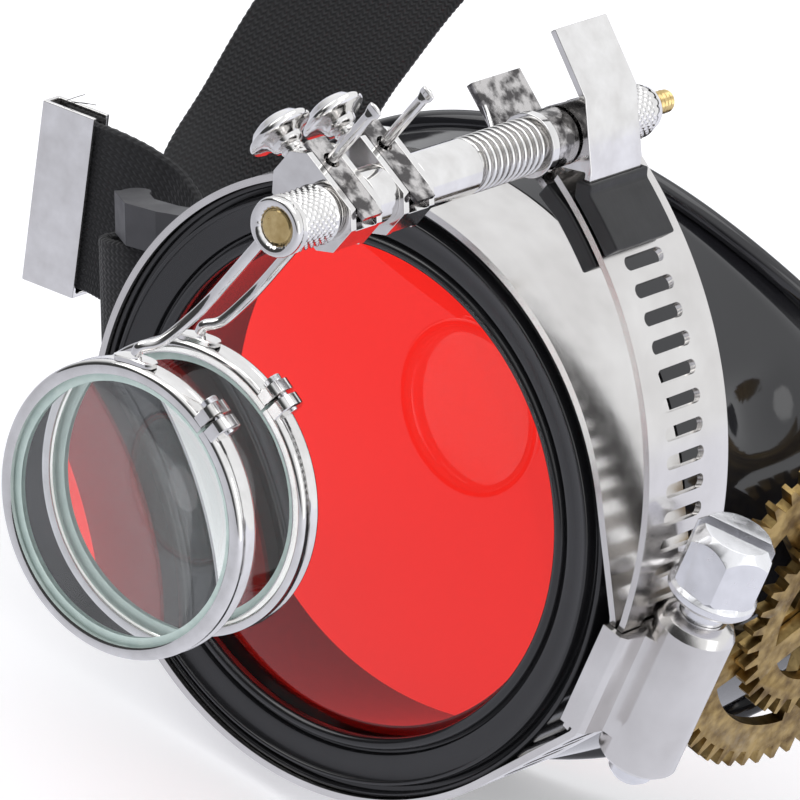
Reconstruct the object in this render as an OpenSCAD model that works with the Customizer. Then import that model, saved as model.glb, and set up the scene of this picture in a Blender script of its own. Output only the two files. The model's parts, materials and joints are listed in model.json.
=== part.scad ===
// One-eyed steampunk goggle: eye cup, red lens, hose clamp, flip-down loupes, strap and gears.
// Millimetres. X points to the temple side, Y from the lens to the face, Z up.
// The origin is on the axis of the cup, in the plane of the front edge of the clamp band.

/* [Lens and bezel] */
// Outer radius of the bezel ring, which the clamp band grips
bezel_r = 30.8; // [30:0.1:33]
// Length of the bezel ring along the cup axis
bezel_len = 13.4; // [13.2:0.1:16]
// Width of the bezel ring outside the edge of the red lens
lens_inset = 4.9; // [4.6:0.1:5.1]
// How far the front lip laps over the edge of the lens
window_lap = 1; // [0.6:0.1:1.4]
// Thickness of the red lens
lens_t = 2.4; // [1.5:0.1:3]
// Depth of the front lip from the band edge to the lens
lip_depth = 1.7; // [1.5:0.1:2.5]

/* [Eye cup] */
// Wall thickness of the flared cup
cup_wall = 2.2; // [1.6:0.1:2.8]
// How much wider the face rim is than the bezel, at the nose
rim_flare = 1.3; // [1.1:0.1:2.2]
// How much wider the face rim is at the temple
temple_swell = 3.1; // [2.8:0.1:3.4]
// Depth of the face rim at the nose
rim_depth = 20; // [19.5:0.1:22]
// Extra depth of the face rim at the temple
temple_depth = 32; // [31:0.5:34]
// Radius of the rolled bead on the face rim
bead_r = 1.3; // [1:0.1:1.6]

/* [Clamp] */
// Width of the clamp band
band_w = 12.7; // [12:0.1:13]
// Thickness of the clamp band
band_t = 0.7; // [0.5:0.05:0.9]
// How far the free end of the band stands off the clamp
tail_rise = 9.1; // [7:0.1:11]
// Angle of the free end, from the temple side towards the top
tail_angle = 72; // [66:1:76]
// Length of one slot in the band, across its width
slot_len = 6; // [5:0.1:7]
// Pitch of the slots along the band
slot_pitch = 2.7; // [2.4:0.1:3.2]
// Radius of the screw barrel of the clamp housing
barrel_r = 4; // [3.6:0.1:4.2]
// Length of the screw barrel
barrel_len = 17.6; // [16:0.1:18.5]
// Width of the hexagon on the clamp screw, across its flats
hex_flats = 7.9; // [7:0.1:8.5]

/* [Loupe shaft] */
// Radius of the threaded rod
rod_r = 1.45; // [1.3:0.05:1.6]
// Radius of the pivot tube that the brackets turn on
tube_r = 2.3; // [2.2:0.05:2.4]
// Where the front end face of the front nut lies, along the cup axis
nut_front_y = -42.5; // [-46:0.1:-42]
// Height of the shaft over the end of the band
shaft_lift = 3.3; // [3.2:0.05:3.7]
// How far the shaft is set towards the nose from the end of the band
shaft_ahead = 2.5; // [2.2:0.05:2.8]
// Outer radius of the torsion spring
spring_r = 2.75; // [2.7:0.05:2.9]
// Wire diameter of the torsion spring
spring_wire = 0.5; // [0.4:0.02:0.52]
// Number of turns of the torsion spring
spring_turns = 10.5; // [8.5:1:10.5]

/* [Loupes] */
// Outer radius of a loupe rim
rim_r = 14.4; // [13:0.1:15]
// Depth of a loupe rim
rim_t = 2.9; // [2.4:0.1:3.4]
// Diameter of the wire arms
arm_d = 1.1; // [0.9:0.05:1.2]
// Lean of the arms from upright
arm_lean = 24.5; // [15:0.5:35]
// Distance from the shaft down to the lens centre
rim_drop = 37.6; // [35:0.2:42]
// Distance from the front loupe bracket to the rear one
bracket_pitch = 7.9; // [7.4:0.1:8.6]

/* [Gears] */
// Tip radius of the large gear
large_gear_r = 20.5; // [18:0.1:20.7]
// Tip radius of the small gear
small_gear_r = 13.2; // [10:0.1:14]
// Thickness of each gear
gear_t = 1.4; // [1:0.1:1.6]
// Number of teeth of the large gear
large_teeth = 56; // [40:1:64]
// Number of teeth of the small gear
small_teeth = 36; // [24:1:44]

/* [Strap] */
// Width of the elastic strap
strap_w = 18; // [16:0.5:19]
// Thickness of the elastic strap
strap_t = 1.3; // [1:0.1:1.4]
// Radius of the bar in each strap lug
lug_bar_r = 1; // [0.8:0.05:1.1]

/* [Hidden] */
LOUPES = ["front", "rear"];

$fn = 64;
run_fit = 0.05;      // radial clearance of a part that turns or slides
seat_gap = 0.1;      // clearance of a part that only rests in its seat
slack = 0.3;         // clearance between pieces that move past each other
eps = 0.01;

// Polar point in the XZ plane, the angle runs from the temple side towards the top
function polar(r, a) = [r * cos(a), r * sin(a)];
function unit(v) = v / norm(v);
function mix(a, b, t) = a + (b - a) * t;

// Bezel and lens stack
gasket_t = 0.8;
lens_r = bezel_r - lens_inset;
window_r = lens_r - window_lap;
lens_front = lip_depth;
lens_back = lens_front + lens_t;
gasket_back = lens_back + gasket_t;
pocket_r = lens_r + seat_gap;
spigot_r = pocket_r + 2.3;
spigot_in = pocket_r - 1.2;
spigot_front = gasket_back + seat_gap;

// Eye cup
shoulder_y = bezel_len + seat_gap;
shoulder_r = bezel_r + 0.4;
rim_half = bezel_r + rim_flare;
lens_tube_back = rim_depth - 0.6;   // the lens tube goes on inside the cup to this depth
cup_steps = 72;
dimple = [31.6, 25.5, 1.3];      // angle, depth along the axis and height of the vent dimple
dimple_size = [7.5, 4.6];        // half angle and half length of the vent dimple

function temple_share(a) = (1 + cos(a)) / 2;
function rim_y(a) = rim_depth
    + temple_depth * (0.45 * pow(temple_share(a), 1.6) + 0.55 * pow(temple_share(a), 8));
function rim_radius(a) = rim_half + temple_swell * pow(temple_share(a), 3.2);
function dimple_at(a, y) = let (d = (abs(a) < 90 ? a : a - 360) - dimple[0])
    -dimple[2] * exp(-pow(d / dimple_size[0], 2) - pow((y - dimple[1]) / dimple_size[1], 2));
// Outer wall at angle a and share s of the way from the shoulder to the face rim
function wall_y(a, s) = mix(shoulder_y, rim_y(a), s);
function wall_r(a, s) = mix(shoulder_r, rim_radius(a), s) + dimple_at(a, wall_y(a, s));

// Clamp band: it grips the bezel, stands off it at the housing and ends in a free tail
band_in = bezel_r + 0.02;
housing_angle = -8;
pad_half = [7.6, 5];             // half length of the flat under the housing, inner and outer layer
pad_in = [bezel_r + 1.3, bezel_r + 1.3 + band_t + slack];
worm_r = pad_in[1] + band_t + barrel_r - 0.35;
tail_start = housing_angle + 14;
// Inner face of a layer that runs as a taut belt from the bezel to a flat of height d and half length h
function belt_r(p, d, h) = let (a = atan2(h, d), lean = a + acos((band_in) / norm([d, h])))
    p < a ? d / cos(p) : p < lean ? band_in / cos(lean - p) : band_in;
function inner_r(a) = belt_r(abs(a - housing_angle), pad_in[0], pad_half[0]);
function outer_r(a) = a <= tail_start
    ? belt_r(abs(a - housing_angle), pad_in[1], a < housing_angle ? pad_half[1] : 20)
    : outer_r(tail_start) + tail_rise * pow((a - tail_start) / (tail_angle - tail_start), 1.2);
band_leaves = housing_angle - 40;
band_joins = housing_angle + 42;
tail_end = polar(outer_r(tail_angle), tail_angle);

// Shaft axis of the loupes, carried over the end of the band
shaft = tail_end + shaft_lift * [cos(tail_angle), sin(tail_angle)]
      + shaft_ahead * [-sin(tail_angle), cos(tail_angle)];
nut_len = 6.6;
nut_r = 2.85;
rear_nut_y = 9.5;
rear_nut_len = 5.3;
rod_end_y = 18.2;
rod_tip_r = rod_r - 0.3;
washer_t = 0.5;
cheek_t = 0.8;
cheek_gap = 3;
bracket_len = cheek_gap + 2 * cheek_t;
first_bracket_y = nut_front_y + nut_len + washer_t + bracket_len / 2;
bracket_y = [first_bracket_y, first_bracket_y + bracket_pitch];
arm_x = -(tube_r + 0.55 + arm_d / 2);
sleeve_front = bracket_y[1] + bracket_len / 2;
ring_front = -4.2;
ring_t = 1.1;
spring_len = 10.2;
spring_back = ring_front - 0.05;
spring_front = spring_back - spring_len;
sleeve_back = spring_front - 0.05;

// Spring clip of the loupes
jaw_y = [0.5, 8.6];
jaw_t = 0.7;
jaw_out = 3.05;
lever_y = [-2.9, 4.7];
lever_drop = 4.0;
lever_angle = 144;

// Loupe rims, seen in the leaning frame of their bracket
rim_shift = 5.4;
rim_ahead = [4.45, 2.9];
rim_wire = 1.3;
glass_r = rim_r - 0.75;
foot_angle = 128;
closing_angle = 86;

// Gears stand on the flat temple wall and lean with it
gear_y = 34.4;
gear_z = -1.2;
gear_lean = [-5.7, 5.2];      // turn about Y and about Z that lays the gears along the wall
gear_lift = 1.4;

// Lugs whose bars carry the strap
nose_lug_at = [-bezel_r - 10, rim_depth - 0.5, -7.4];
nose_lug_lean = -19.3;
nose_lug_half = strap_w / 2 + 0.5;
temple_reach = 7.3;
temple_lug_at = [rim_radius(0) + temple_reach, rim_y(0) + 2, 0];
temple_lug_half = 13;
lug_arm = [3.2, 4.4];            // depth and height of a lug arm
wrap_r = lug_bar_r + slack + strap_t / 2;
nose_wrap_reach = 2 * wrap_r;    // the fold round the nose bar is loose, so it stands out this far
strap_steps = 4;

module at_shaft(y = 0) translate([shaft[0], y, shaft[1]]) children();
module leaning(y) at_shaft(y) rotate([0, arm_lean, 0]) children();
// A cylinder along Y that starts at y0 and ends at y1
module rod_y(r, y0, y1) translate([0, y0, 0]) rotate([-90, 0, 0]) cylinder(r = r, h = y1 - y0);
// A ring along Y
module tube_y(ro, ri, y0, y1) difference() {
    rod_y(ro, y0, y1);
    rod_y(ri, y0 - 1, y1 + 1);
}
// A turned shape: points are radius and place along the Y axis
module turned(points) rotate([-90, 0, 0]) rotate_extrude($fn = 96) polygon([for (p = points) p]);
// A flat outline in the XZ plane, given thickness along Y from y0 to y1
module plate_y(y0, y1) translate([0, y1, 0]) rotate([90, 0, 0]) linear_extrude(y1 - y0) children();
// A smooth wire of straight rods with balls at the bends
module wire(points, d) {
    for (i = [0:len(points) - 2]) {
        v = points[i + 1] - points[i];
        translate(points[i]) rotate([0, acos(v[2] / norm(v)), atan2(v[1], v[0])])
            cylinder(d = d, h = norm(v));
        if (i > 0) translate(points[i]) sphere(d = d + 0.06, $fn = 32);
    }
}

// A closed tube of loops: rows of points, each row one loop with the same count
module skin(rows) {
    n = len(rows[0]);
    m = len(rows);
    polyhedron([for (r = rows, p = r) p],
        concat([for (i = [0:m - 2], j = [0:n - 1], k = [0, 1])
                    let (a = i * n + j, b = i * n + (j + 1) % n, c = a + n, d = b + n)
                    k == 0 ? [a, c, b] : [b, c, d]],
               [for (j = [1:n - 2]) [0, j, j + 1]],
               [for (j = [1:n - 2]) [(m - 1) * n, (m - 1) * n + j + 1, (m - 1) * n + j]]),
        convexity = 6);
}

// Eye cup: one closed wall, from the spigot in the bezel out to the face rim and back inside
cup_wall_shares = [0.08, 0.2, 0.34, 0.48, 0.6, 0.72, 0.82, 0.9, 0.95];
module eye_cup() {
    rows = [for (i = [0:cup_steps - 1]) let (a = i * 360 / cup_steps) concat(
        [[spigot_in, spigot_front], [spigot_r, spigot_front], [spigot_r, shoulder_y],
         [shoulder_r, shoulder_y]],
        [for (s = cup_wall_shares) [wall_r(a, s) - (s > 0.85 ? 0.5 : 0), wall_y(a, s)]],
        [for (t = [-100, -50, 0, 50, 100]) [rim_radius(a) - 0.2 + bead_r * cos(t * 0.9),
                                            rim_y(a) + bead_r * sin(t * 0.9)]],
        [for (k = [len(cup_wall_shares) - 1:-1:0]) let (s = cup_wall_shares[k])
            [wall_r(a, s) - cup_wall, wall_y(a, s) + 0.4 * (1 - s)]],
        [[spigot_in + 1.5, shoulder_y + 1.2], [spigot_in + 1.5, lens_tube_back],
         [spigot_in, lens_tube_back]])];
    n = len(rows[0]);
    color("#141316")
        polyhedron([for (i = [0:cup_steps - 1], p = rows[i]) let (a = i * 360 / cup_steps)
                        [p[0] * cos(a), p[1], p[0] * sin(a)]],
            [for (i = [0:cup_steps - 1], j = [0:n - 1], k = [0, 1])
                let (a = i * n + j, b = i * n + (j + 1) % n,
                     c = ((i + 1) % cup_steps) * n + j, d = ((i + 1) % cup_steps) * n + (j + 1) % n)
                k == 0 ? [a, b, c] : [b, d, c]], convexity = 8);
}

// Bezel: a screw-on ring with a stepped lip, a groove and a bead round the window
module bezel_ring() {
    color("#19181b") turned([
        [window_r, lens_front], [window_r, 1.1], [window_r + 0.25, 0.75], [window_r + 0.75, 0.7],
        [window_r + 1.0, 1.1], [window_r + 1.15, 1.35], [window_r + 1.45, 1.3],
        [window_r + 1.7, 0.7], [bezel_r - 2.6, 0.5], [bezel_r - 2.4, -0.2],
        [bezel_r - 1.8, -0.55], [bezel_r - 0.9, -0.45], [bezel_r - 0.2, 0.1], [bezel_r, 0.7],
        [bezel_r, bezel_len], [spigot_r + seat_gap, bezel_len], [spigot_r + seat_gap, gasket_back],
        [pocket_r, gasket_back], [pocket_r, lens_front]]);
}
module lens_gasket() {
    color("#0d0d0d") tube_y(lens_r, lens_r - 2, lens_back, gasket_back);
}
module red_lens() {
    color("#c8141a") turned([[0, lens_front + 0.02], [lens_r - 0.6, lens_front + 0.02],
        [lens_r, lens_front + 0.4], [lens_r, lens_back - 0.3], [lens_r - 0.3, lens_back],
        [0, lens_back]]);
}

// A strap lug in its own axes: the bar runs along Z, both arms follow the line in plan
module lug_frame(line, half) {
    cylinder(r = lug_bar_r, h = 2 * half + lug_arm[1], center = true);
    for (s = [-1, 1]) translate([0, 0, s * (half + lug_arm[1] / 2)])
        linear_extrude(lug_arm[1], center = true) {
            circle(d = lug_arm[0]);
            translate([0, lug_arm[0] / 2]) polygon(thick_line(line, lug_arm[0]));
        }
}
module nose_lug() {
    color("#3a393e") difference() {
        translate(nose_lug_at) rotate([0, nose_lug_lean, 0])
            lug_frame([[0, 0], [3.6, -3], [7.4, -3.9], [17, -4]], nose_lug_half);
        // the arms stop at the wall of the cup
        rotate([-90, 0, 0]) translate([0, 0, shoulder_y])
            cylinder(r1 = shoulder_r + 0.1, r2 = rim_half + bead_r, h = rim_depth - shoulder_y + 1);
        rod_y(bezel_r + band_t + 0.6, -5, shoulder_y + eps);
    }
}
module temple_lug() {
    color("#3a393e") translate(temple_lug_at) rotate([0, 0, 180])
        lug_frame([[0, 0], [temple_reach - 0.1, 0]], temple_lug_half);
}

// Angles of the slots, from the tail end back through the housing, at an even pitch
function slot_angles(a) = a < housing_angle - 50 ? []
    : concat([a], slot_angles(a - slot_pitch / outer_r(a) * 180 / PI));
slot_w = 1.4;
slot_y = band_w / 2 - 0.6;
module clamp_band() {
    steps = 3;
    // one strip: its fixed end, up the inner layer, round the bezel and out along the tail
    start = housing_angle - 9;
    turn = [for (a = [start : steps : band_joins]) [inner_r(a), a]];
    ring = [for (a = [band_joins + steps : steps : 360 + band_leaves]) [band_in, a]];
    tail = [for (a = [band_leaves : steps / 2 : tail_angle]) [outer_r(a), a]];
    path = concat(turn, ring, tail);
    color("#c9c6c2") difference() {
        plate_y(0, band_w) polygon(concat([for (p = path) polar(p[0], p[1])],
            [for (i = [len(path) - 1 : -1 : 0]) polar(path[i][0] + band_t, path[i][1])]));
        for (a = slot_angles(tail_angle - 13.5)) rotate([0, -a, 0])
            translate([outer_r(a) - 0.1, slot_y, 0]) rotate([0, 90, 0]) linear_extrude(band_t + 0.5) {
                square([slot_w, slot_len - slot_w], center = true);
                for (s = [-1, 1]) translate([0, s * (slot_len - slot_w) / 2]) circle(d = slot_w);
            }
    }
}

// Clamp housing: a pressed saddle over the band with a barrel round the screw
module housing_frame() rotate([0, -housing_angle, 0]) translate([worm_r, band_w / 2, 0]) children();
saddle_half = band_w / 2 + 0.8;
saddle_at = [-4.2, 7.4];
barrel_back = -7;
worm_tip_r = barrel_r - 0.95;
module clamp_housing() {
    lip_top = pad_in[1] + band_t + 0.1 - worm_r;
    lip_under = pad_in[0] - 0.15 - worm_r;
    color("#bdbcc0") housing_frame() difference() {
        union() {
            translate([0, 0, barrel_back]) rotate_extrude() polygon([[0, 0], [barrel_r - 0.6, 0],
                [barrel_r, 0.6], [barrel_r, barrel_len - 1.4], [barrel_r - 0.5, barrel_len - 0.5],
                [barrel_r - 1.4, barrel_len], [0, barrel_len]]);
            translate([0, 0, saddle_at[0]]) linear_extrude(saddle_at[1] - saddle_at[0]) polygon([
                [lip_under, -saddle_half], [lip_top + 0.3, -saddle_half],
                [lip_top + 0.8, -saddle_half + 0.5], [lip_top + 1.2, -barrel_r - 0.2],
                [-0.8, -barrel_r + 0.15], [-0.8, barrel_r - 0.15], [lip_top + 1.2, barrel_r + 0.2],
                [lip_top + 0.8, saddle_half - 0.5], [lip_top + 0.3, saddle_half],
                [lip_under, saddle_half]]);
        }
        translate([0, 0, barrel_back + 0.8]) cylinder(r = worm_tip_r + 0.25, h = barrel_len - 3);
        translate([0, 0, barrel_back - 1]) cylinder(r = screw_core + run_fit, h = barrel_len + 3);
        // the tunnel of the two band layers, which also lets the worm reach the slots
        translate([lip_under - 1, -band_w / 2 - 0.1, barrel_back - 3])
            cube([lip_top + 1 - lip_under, band_w + 0.2, barrel_len + 6]);
    }
}
screw_core = 2.2;
module clamp_screw() {
    flats_r = hex_flats / 2 / cos(30);
    flange_r = hex_flats / 2 + 0.5;
    head = barrel_back + barrel_len + 2;
    worm_at = barrel_back + 1.1;
    color("#c4c2c6") housing_frame() {
        translate([0, 0, barrel_back - 2.2]) rotate_extrude() polygon([[0, 0], [1.5, 0],
            [screw_core, 0.7], [screw_core, head - barrel_back + 2.3], [0, head - barrel_back + 2.3]]);
        translate([0, 0, worm_at]) cylinder(r = worm_tip_r, h = barrel_len - 4);
        translate([0, 0, head]) rotate_extrude() polygon([[0, 0], [flange_r - 0.4, 0],
            [flange_r, 0.5], [flange_r, 1.1], [flange_r - 0.4, 1.5], [0, 1.5]]);
        difference() {
            translate([0, 0, head + 1.5 - eps]) intersection() {
                cylinder(r = flats_r, h = 6.2, $fn = 6);
                rotate_extrude() polygon([[0, 0], [flats_r - 0.3, 0], [flats_r + 0.1, 0.6],
                    [flats_r + 0.1, 4.6], [flats_r - 1.2, 6.2], [0, 6.2]]);
            }
            rotate(25) translate([-6, -0.8, head + 5.2]) cube([12, 1.6, 4]);
        }
    }
}
// The grip of the clip: both jaws follow the free tail in the XZ plane, under rubber boots
boot_wall = 0.55;
boot_tip = tail_angle - 12;
finger_at = [tail_angle - 9, tail_angle - 4];
grip_y = [[jaw_y[0], jaw_y[1]], [0.3, 4]];
// Distance of the gripping face of the outer (0) and the inner (1) finger at angle a
function grip_r(k, a) = k == 0 ? outer_r(a) + band_t + slack + boot_wall : outer_r(a) - slack - boot_wall;
function finger_line(k, tip) = [for (a = [tip : 1 : finger_at[1]]) polar(grip_r(k, a), a)];
module boot(k) {
    side = k == 0 ? 1 : -1;
    root = mix(polar(grip_r(k, finger_at[1]), finger_at[1]), k == 0 ? jaw_foot : lever_foot, 0.6);
    sleeve = concat(finger_line(k, boot_tip), [root]);
    hole = concat(finger_line(k, finger_at[0] - 1), [mix(root, sleeve[len(sleeve) - 2], -0.5)]);
    color("#161616") difference() {
        plate_y(grip_y[k][0] - boot_wall, grip_y[k][1] + boot_wall)
            polygon(between(sleeve, -side * boot_wall, side * (jaw_t + boot_wall)));
        plate_y(grip_y[k][0] - run_fit, grip_y[k][1] + run_fit)
            polygon(between(hole, -side * run_fit, side * (jaw_t + run_fit)));
    }
}

// Gears: teeth on a rim, crossings between hub and rim
module gear_plate(tip_r, teeth, hub_r, bore_r, spokes, rim_w, spoke_w) {
    root_r = tip_r - 1.7;
    linear_extrude(gear_t) difference() {
        polygon([for (i = [0:teeth - 1], k = [0:3]) let (p = 360 / teeth,
            r = (k == 1 || k == 2) ? tip_r : root_r, f = [0.02, 0.2, 0.42, 0.6][k])
            [r * cos((i + f) * p), r * sin((i + f) * p)]]);
        circle(r = bore_r);
        difference() {
            circle(r = root_r - rim_w);
            circle(r = hub_r);
            for (k = [0:spokes - 1]) rotate(k * 360 / spokes) translate([0, -spoke_w / 2])
                square([tip_r, spoke_w]);
        }
    }
}
temple_r = wall_r(0, (gear_y - shoulder_y) / (rim_y(0) - shoulder_y));
module gear_frame(lift) translate([temple_r + gear_lift, gear_y, gear_z])
    rotate([0, -gear_lean[0], -gear_lean[1]]) rotate([0, 90, 0]) translate([0, 0, lift]) children();
post_r = 2.2;
module large_gear() {
    color("#a8823c") gear_frame(0) rotate(8)
        gear_plate(large_gear_r, large_teeth, 5.4, post_r + run_fit, 5, 3.2, 3.6);
}
module small_gear() {
    color("#b28d47") gear_frame(gear_t + seat_gap) rotate(30)
        gear_plate(small_gear_r, small_teeth, 4.6, post_r + run_fit, 4, 2.4, 2.8);
}
module gear_post() {
    color("#8a6a30") gear_frame(0) {
        translate([0, 0, 0.35 - gear_lift]) cylinder(r = 3.4, h = gear_lift - 0.4);
        cylinder(r = post_r, h = 2 * gear_t + 1.2);
        translate([0, 0, -0.1]) cylinder(r = post_r, h = 1);
        translate([0, 0, 2 * gear_t + seat_gap + 0.55]) rotate_extrude()
            polygon([[0, 0], [3.3, 0], [3.3, 0.5], [2.4, 1.1], [0, 1.3]]);
    }
}
module gear_washer() {
    color("#59544a") gear_frame(2 * gear_t + seat_gap + 0.02) difference() {
        cylinder(r = 4.1, h = 0.5);
        translate([0, 0, -1]) cylinder(r = post_r + run_fit, h = 3);
    }
}

// Fixed jaw of the clip: a finger plate with two ears round the shaft and a booted foot
jaw_dir = unit([-0.40, 0.917]);
jaw_norm = [jaw_dir[1], -jaw_dir[0]];
jaw_foot = shaft + jaw_norm * jaw_out - jaw_dir * 3.2;
jaw_bend = shaft + jaw_norm * jaw_out + jaw_dir * 3.6;
jaw_tip = jaw_bend + 7 * unit([-0.74, 0.67]);
// The outline between two lines that run beside a line of points, d and e to its right
function between(points, d, e) = let (n = len(points),
    dirs = [for (i = [0:n - 2]) unit(points[i + 1] - points[i])],
    norms = [for (i = [0:n - 1]) let (a = dirs[max(i - 1, 0)], b = dirs[min(i, n - 2)],
        s = unit(a + b)) [s[1], -s[0]] / max(0.5, s * a)])
    concat([for (i = [0:n - 1]) points[i] + norms[i] * d], [for (i = [n - 1:-1:0]) points[i] + norms[i] * e]);
function thick_line(points, t) = between(points, 0, t);
module clip_jaw() {
    color("#d8d6d6") difference() {
        union() {
            plate_y(jaw_y[0], jaw_y[1])
                polygon(thick_line(concat(finger_line(0, finger_at[0]),
                    [jaw_foot, jaw_bend, jaw_tip]), jaw_t));
            for (y = [jaw_y[0], jaw_y[1] - jaw_t]) plate_y(y, y + jaw_t) hull() {
                translate(shaft) circle(r = 2.95, $fn = 32);
                translate(jaw_foot + jaw_norm * 0.1) circle(r = 0.2, $fn = 16);
                translate(jaw_bend + jaw_norm * 0.1) circle(r = 0.2, $fn = 16);
            }
        }
        at_shaft() rod_y(tube_back_r + run_fit, -5, 15);
    }
}
tube_back_r = 1.95;
// Sprung lever of the clip: a finger tab, a knuckle, an ear and a booted lower jaw
lever_dir = [cos(lever_angle), sin(lever_angle)];
lever_norm = [-lever_dir[1], lever_dir[0]];
lever_mid = shaft + lever_norm * lever_drop;
lever_foot = lever_mid - lever_dir * 1.3;
module clip_lever() {
    tab = lever_mid + lever_dir * 8.2;
    color("#8c8a8e") difference() {
        union() {
            plate_y(lever_y[0], lever_y[1])
                polygon(thick_line([tab, lever_mid - lever_dir * 1.4], -jaw_t));
            plate_y(grip_y[1][0], grip_y[1][1]) polygon(thick_line(
                concat(finger_line(1, finger_at[0]), [lever_foot]), -jaw_t));
            for (y = [[lever_y[0], jaw_y[0] - 0.3], [lever_y[1] - jaw_t, lever_y[1]]])
                plate_y(y[0], y[1]) hull() {
                    translate(shaft) circle(r = 2.9, $fn = 32);
                    translate(lever_mid + lever_dir * 2.6 - lever_norm * 0.1) circle(r = 0.1, $fn = 12);
                    translate(lever_mid - lever_dir * 1.2 - lever_norm * 0.1) circle(r = 0.1, $fn = 12);
                }
        }
        at_shaft() rod_y(tube_back_r + run_fit, -5, 15);
    }
}

// Torsion spring: one unbroken hexagonal tube, with a leg on the lever
spring_mean = spring_r - spring_wire / 2;
spring_pitch = (spring_len - spring_wire) / spring_turns;
leg_angle = 150;
function coil_point(t) = let (a = leg_angle + 90 - (spring_turns - t) * 360)
    [spring_mean * cos(a), spring_back - spring_wire / 2 - (spring_turns - t) * spring_pitch,
     spring_mean * sin(a)];
leg_dir = [cos(leg_angle), sin(leg_angle)];
leg_pts = [for (k = [[1.2, 0], [3.4, 0.3], [5.2, 1.2], [7, 1.5]])
    coil_point(spring_turns) + [leg_dir[0] * k[0], k[1], leg_dir[1] * k[0]]];
spring_path = concat(
    [coil_point(0) + [0.9 * sin(leg_angle + 90 - spring_turns * 360), 0,
                      -0.9 * cos(leg_angle + 90 - spring_turns * 360)]],
    [for (i = [0:8 * spring_turns]) coil_point(i / 8)], leg_pts);
function tangent(p, i) = unit(p[min(i + 1, len(p) - 1)] - p[max(i - 1, 0)]);
// Rings of a round tube along a path, squared off against the Y axis
function tube_rows(p, d, sides) = [for (i = [0:len(p) - 1]) let (t = tangent(p, i),
    u = unit(cross(t, [0, 1, 0])), v = cross(u, t))
    [for (k = [0:sides - 1]) p[i] + d / 2 * (u * cos(k * 360 / sides) + v * sin(k * 360 / sides))]];
echo(least_spring_gap = norm(coil_point(3) - coil_point(4)) - spring_wire);
module torsion_spring() {
    color("#cfcccb") at_shaft() skin(tube_rows(spring_path, spring_wire, 6));
}
module spring_washer() {
    color("#d2d0d0") at_shaft() tube_y(3.15, tube_back_r + seat_gap, ring_front, ring_front + ring_t);
}
module pressure_sleeve() {
    color("#cfcdcd") at_shaft() tube_y(2.75, tube_r + run_fit, sleeve_front, sleeve_back);
}
module bracket_spacer() {
    color("#cfcdcd") at_shaft() tube_y(2.9, tube_r + run_fit,
        bracket_y[0] + bracket_len / 2, bracket_y[1] - bracket_len / 2);
}
tube_front = nut_front_y + nut_len + 0.1;
module pivot_tube() {
    color("#c9c7c7") at_shaft() difference() {
        union() {
            rod_y(tube_r, tube_front, sleeve_back);
            rod_y(tube_back_r, tube_front, jaw_y[1] + 0.6);
        }
        rod_y(rod_r + run_fit, tube_front - 1, jaw_y[1] + 2);
    }
}
module threaded_rod() {
    color("#b08a4a") at_shaft() {
        rod_y(rod_r + 0.25, nut_front_y + 0.4, nut_front_y + 1.9);
        rod_y(rod_r, nut_front_y + 1.1, rear_nut_y + rear_nut_len + run_fit);
        rod_y(rod_tip_r, jaw_y[1], rod_end_y - 0.3);
        translate([0, rod_end_y - 0.3, 0]) rotate([-90, 0, 0])
            cylinder(r1 = rod_tip_r, r2 = rod_tip_r - 0.3, h = 0.3);
    }
}
module front_nut() {
    color("#d6d4d4") at_shaft(nut_front_y) turned([
        [rod_r + run_fit, 2.6], [2.3, 2.0], [2.3, 0.1], [2.45, 0], [nut_r - 0.15, 0.1], [nut_r, 0.5],
        [nut_r - 0.2, 1.2], [nut_r, 1.5], [nut_r, nut_len - 0.4], [nut_r - 0.4, nut_len],
        [rod_r + run_fit, nut_len]]);
}
module rear_nut() {
    color("#d6d4d4") at_shaft(rear_nut_y) turned([
        [rod_r + run_fit, 0], [2.4, 0], [2.75, 0.4], [2.75, 3.2], [2.2, rear_nut_len - 0.4],
        [1.9, rear_nut_len], [rod_r + run_fit, rear_nut_len]]);
}

// Loupe bracket: a strip folded in a U round the shaft, open towards its screw
function cheek() = [[-6.2, -1.5], [-4.9, -3.2], [2.0, -3.2], [3.4, -1.8], [3.4, 1.4],
                    [2.0, 2.8], [-4.8, 2.8], [-6.2, 1.4]];
module loupe_bracket(k) {
    y = bracket_y[k];
    color("#d4d2d3") leaning(y) difference() {
        union() {
            for (s = [-1, 1]) translate([0, s * (cheek_gap + cheek_t) / 2, 0])
                plate_y(-cheek_t / 2, cheek_t / 2) polygon(cheek());
            translate([3.4 - cheek_t, -cheek_gap / 2 - eps, -1.6]) cube([cheek_t, cheek_gap + 2 * eps, 2.8]);
        }
        rod_y(tube_r + run_fit, -bracket_len, bracket_len);
        translate([-4.9, 0, 1.1]) rod_y(0.6, 0, bracket_len);
    }
}
screw_r = 1.15;
block_x = [-tube_r - 0.1, -6.0];
module loupe_clamp_block(k) {
    color("#c6c4c5") leaning(bracket_y[k]) difference() {
        translate([block_x[1], -cheek_gap / 2 + 0.02, -1.7])
            cube([block_x[0] - block_x[1], cheek_gap - 0.04, 3.4]);
        translate([arm_x, 0, -3]) cylinder(d = arm_d + 2 * run_fit, h = 6);
        translate([block_x[1] - 1, 0, 0]) rotate([0, 90, 0])
            cylinder(r = screw_r + run_fit, h = block_x[0] - block_x[1] + 1 - 1.0);
    }
}
module loupe_thumb_screw(k) {
    tip = arm_x - arm_d / 2 - slack;
    color("#dad8d9") leaning(bracket_y[k]) translate([tip, 0, 0]) rotate([0, -90, 0]) rotate_extrude()
        polygon([[0, 0], [screw_r - 0.3, 0], [screw_r, 0.3], [screw_r, 3.1], [1.5, 3.3], [1.6, 3.7],
                 [1.9, 4.1], [3.0, 4.6], [3.25, 5.0], [3.1, 5.4], [2.2, 5.9], [1.1, 6.15], [0, 6.2]]);
}
foot_bar = arm_d * 1.05;
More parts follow.
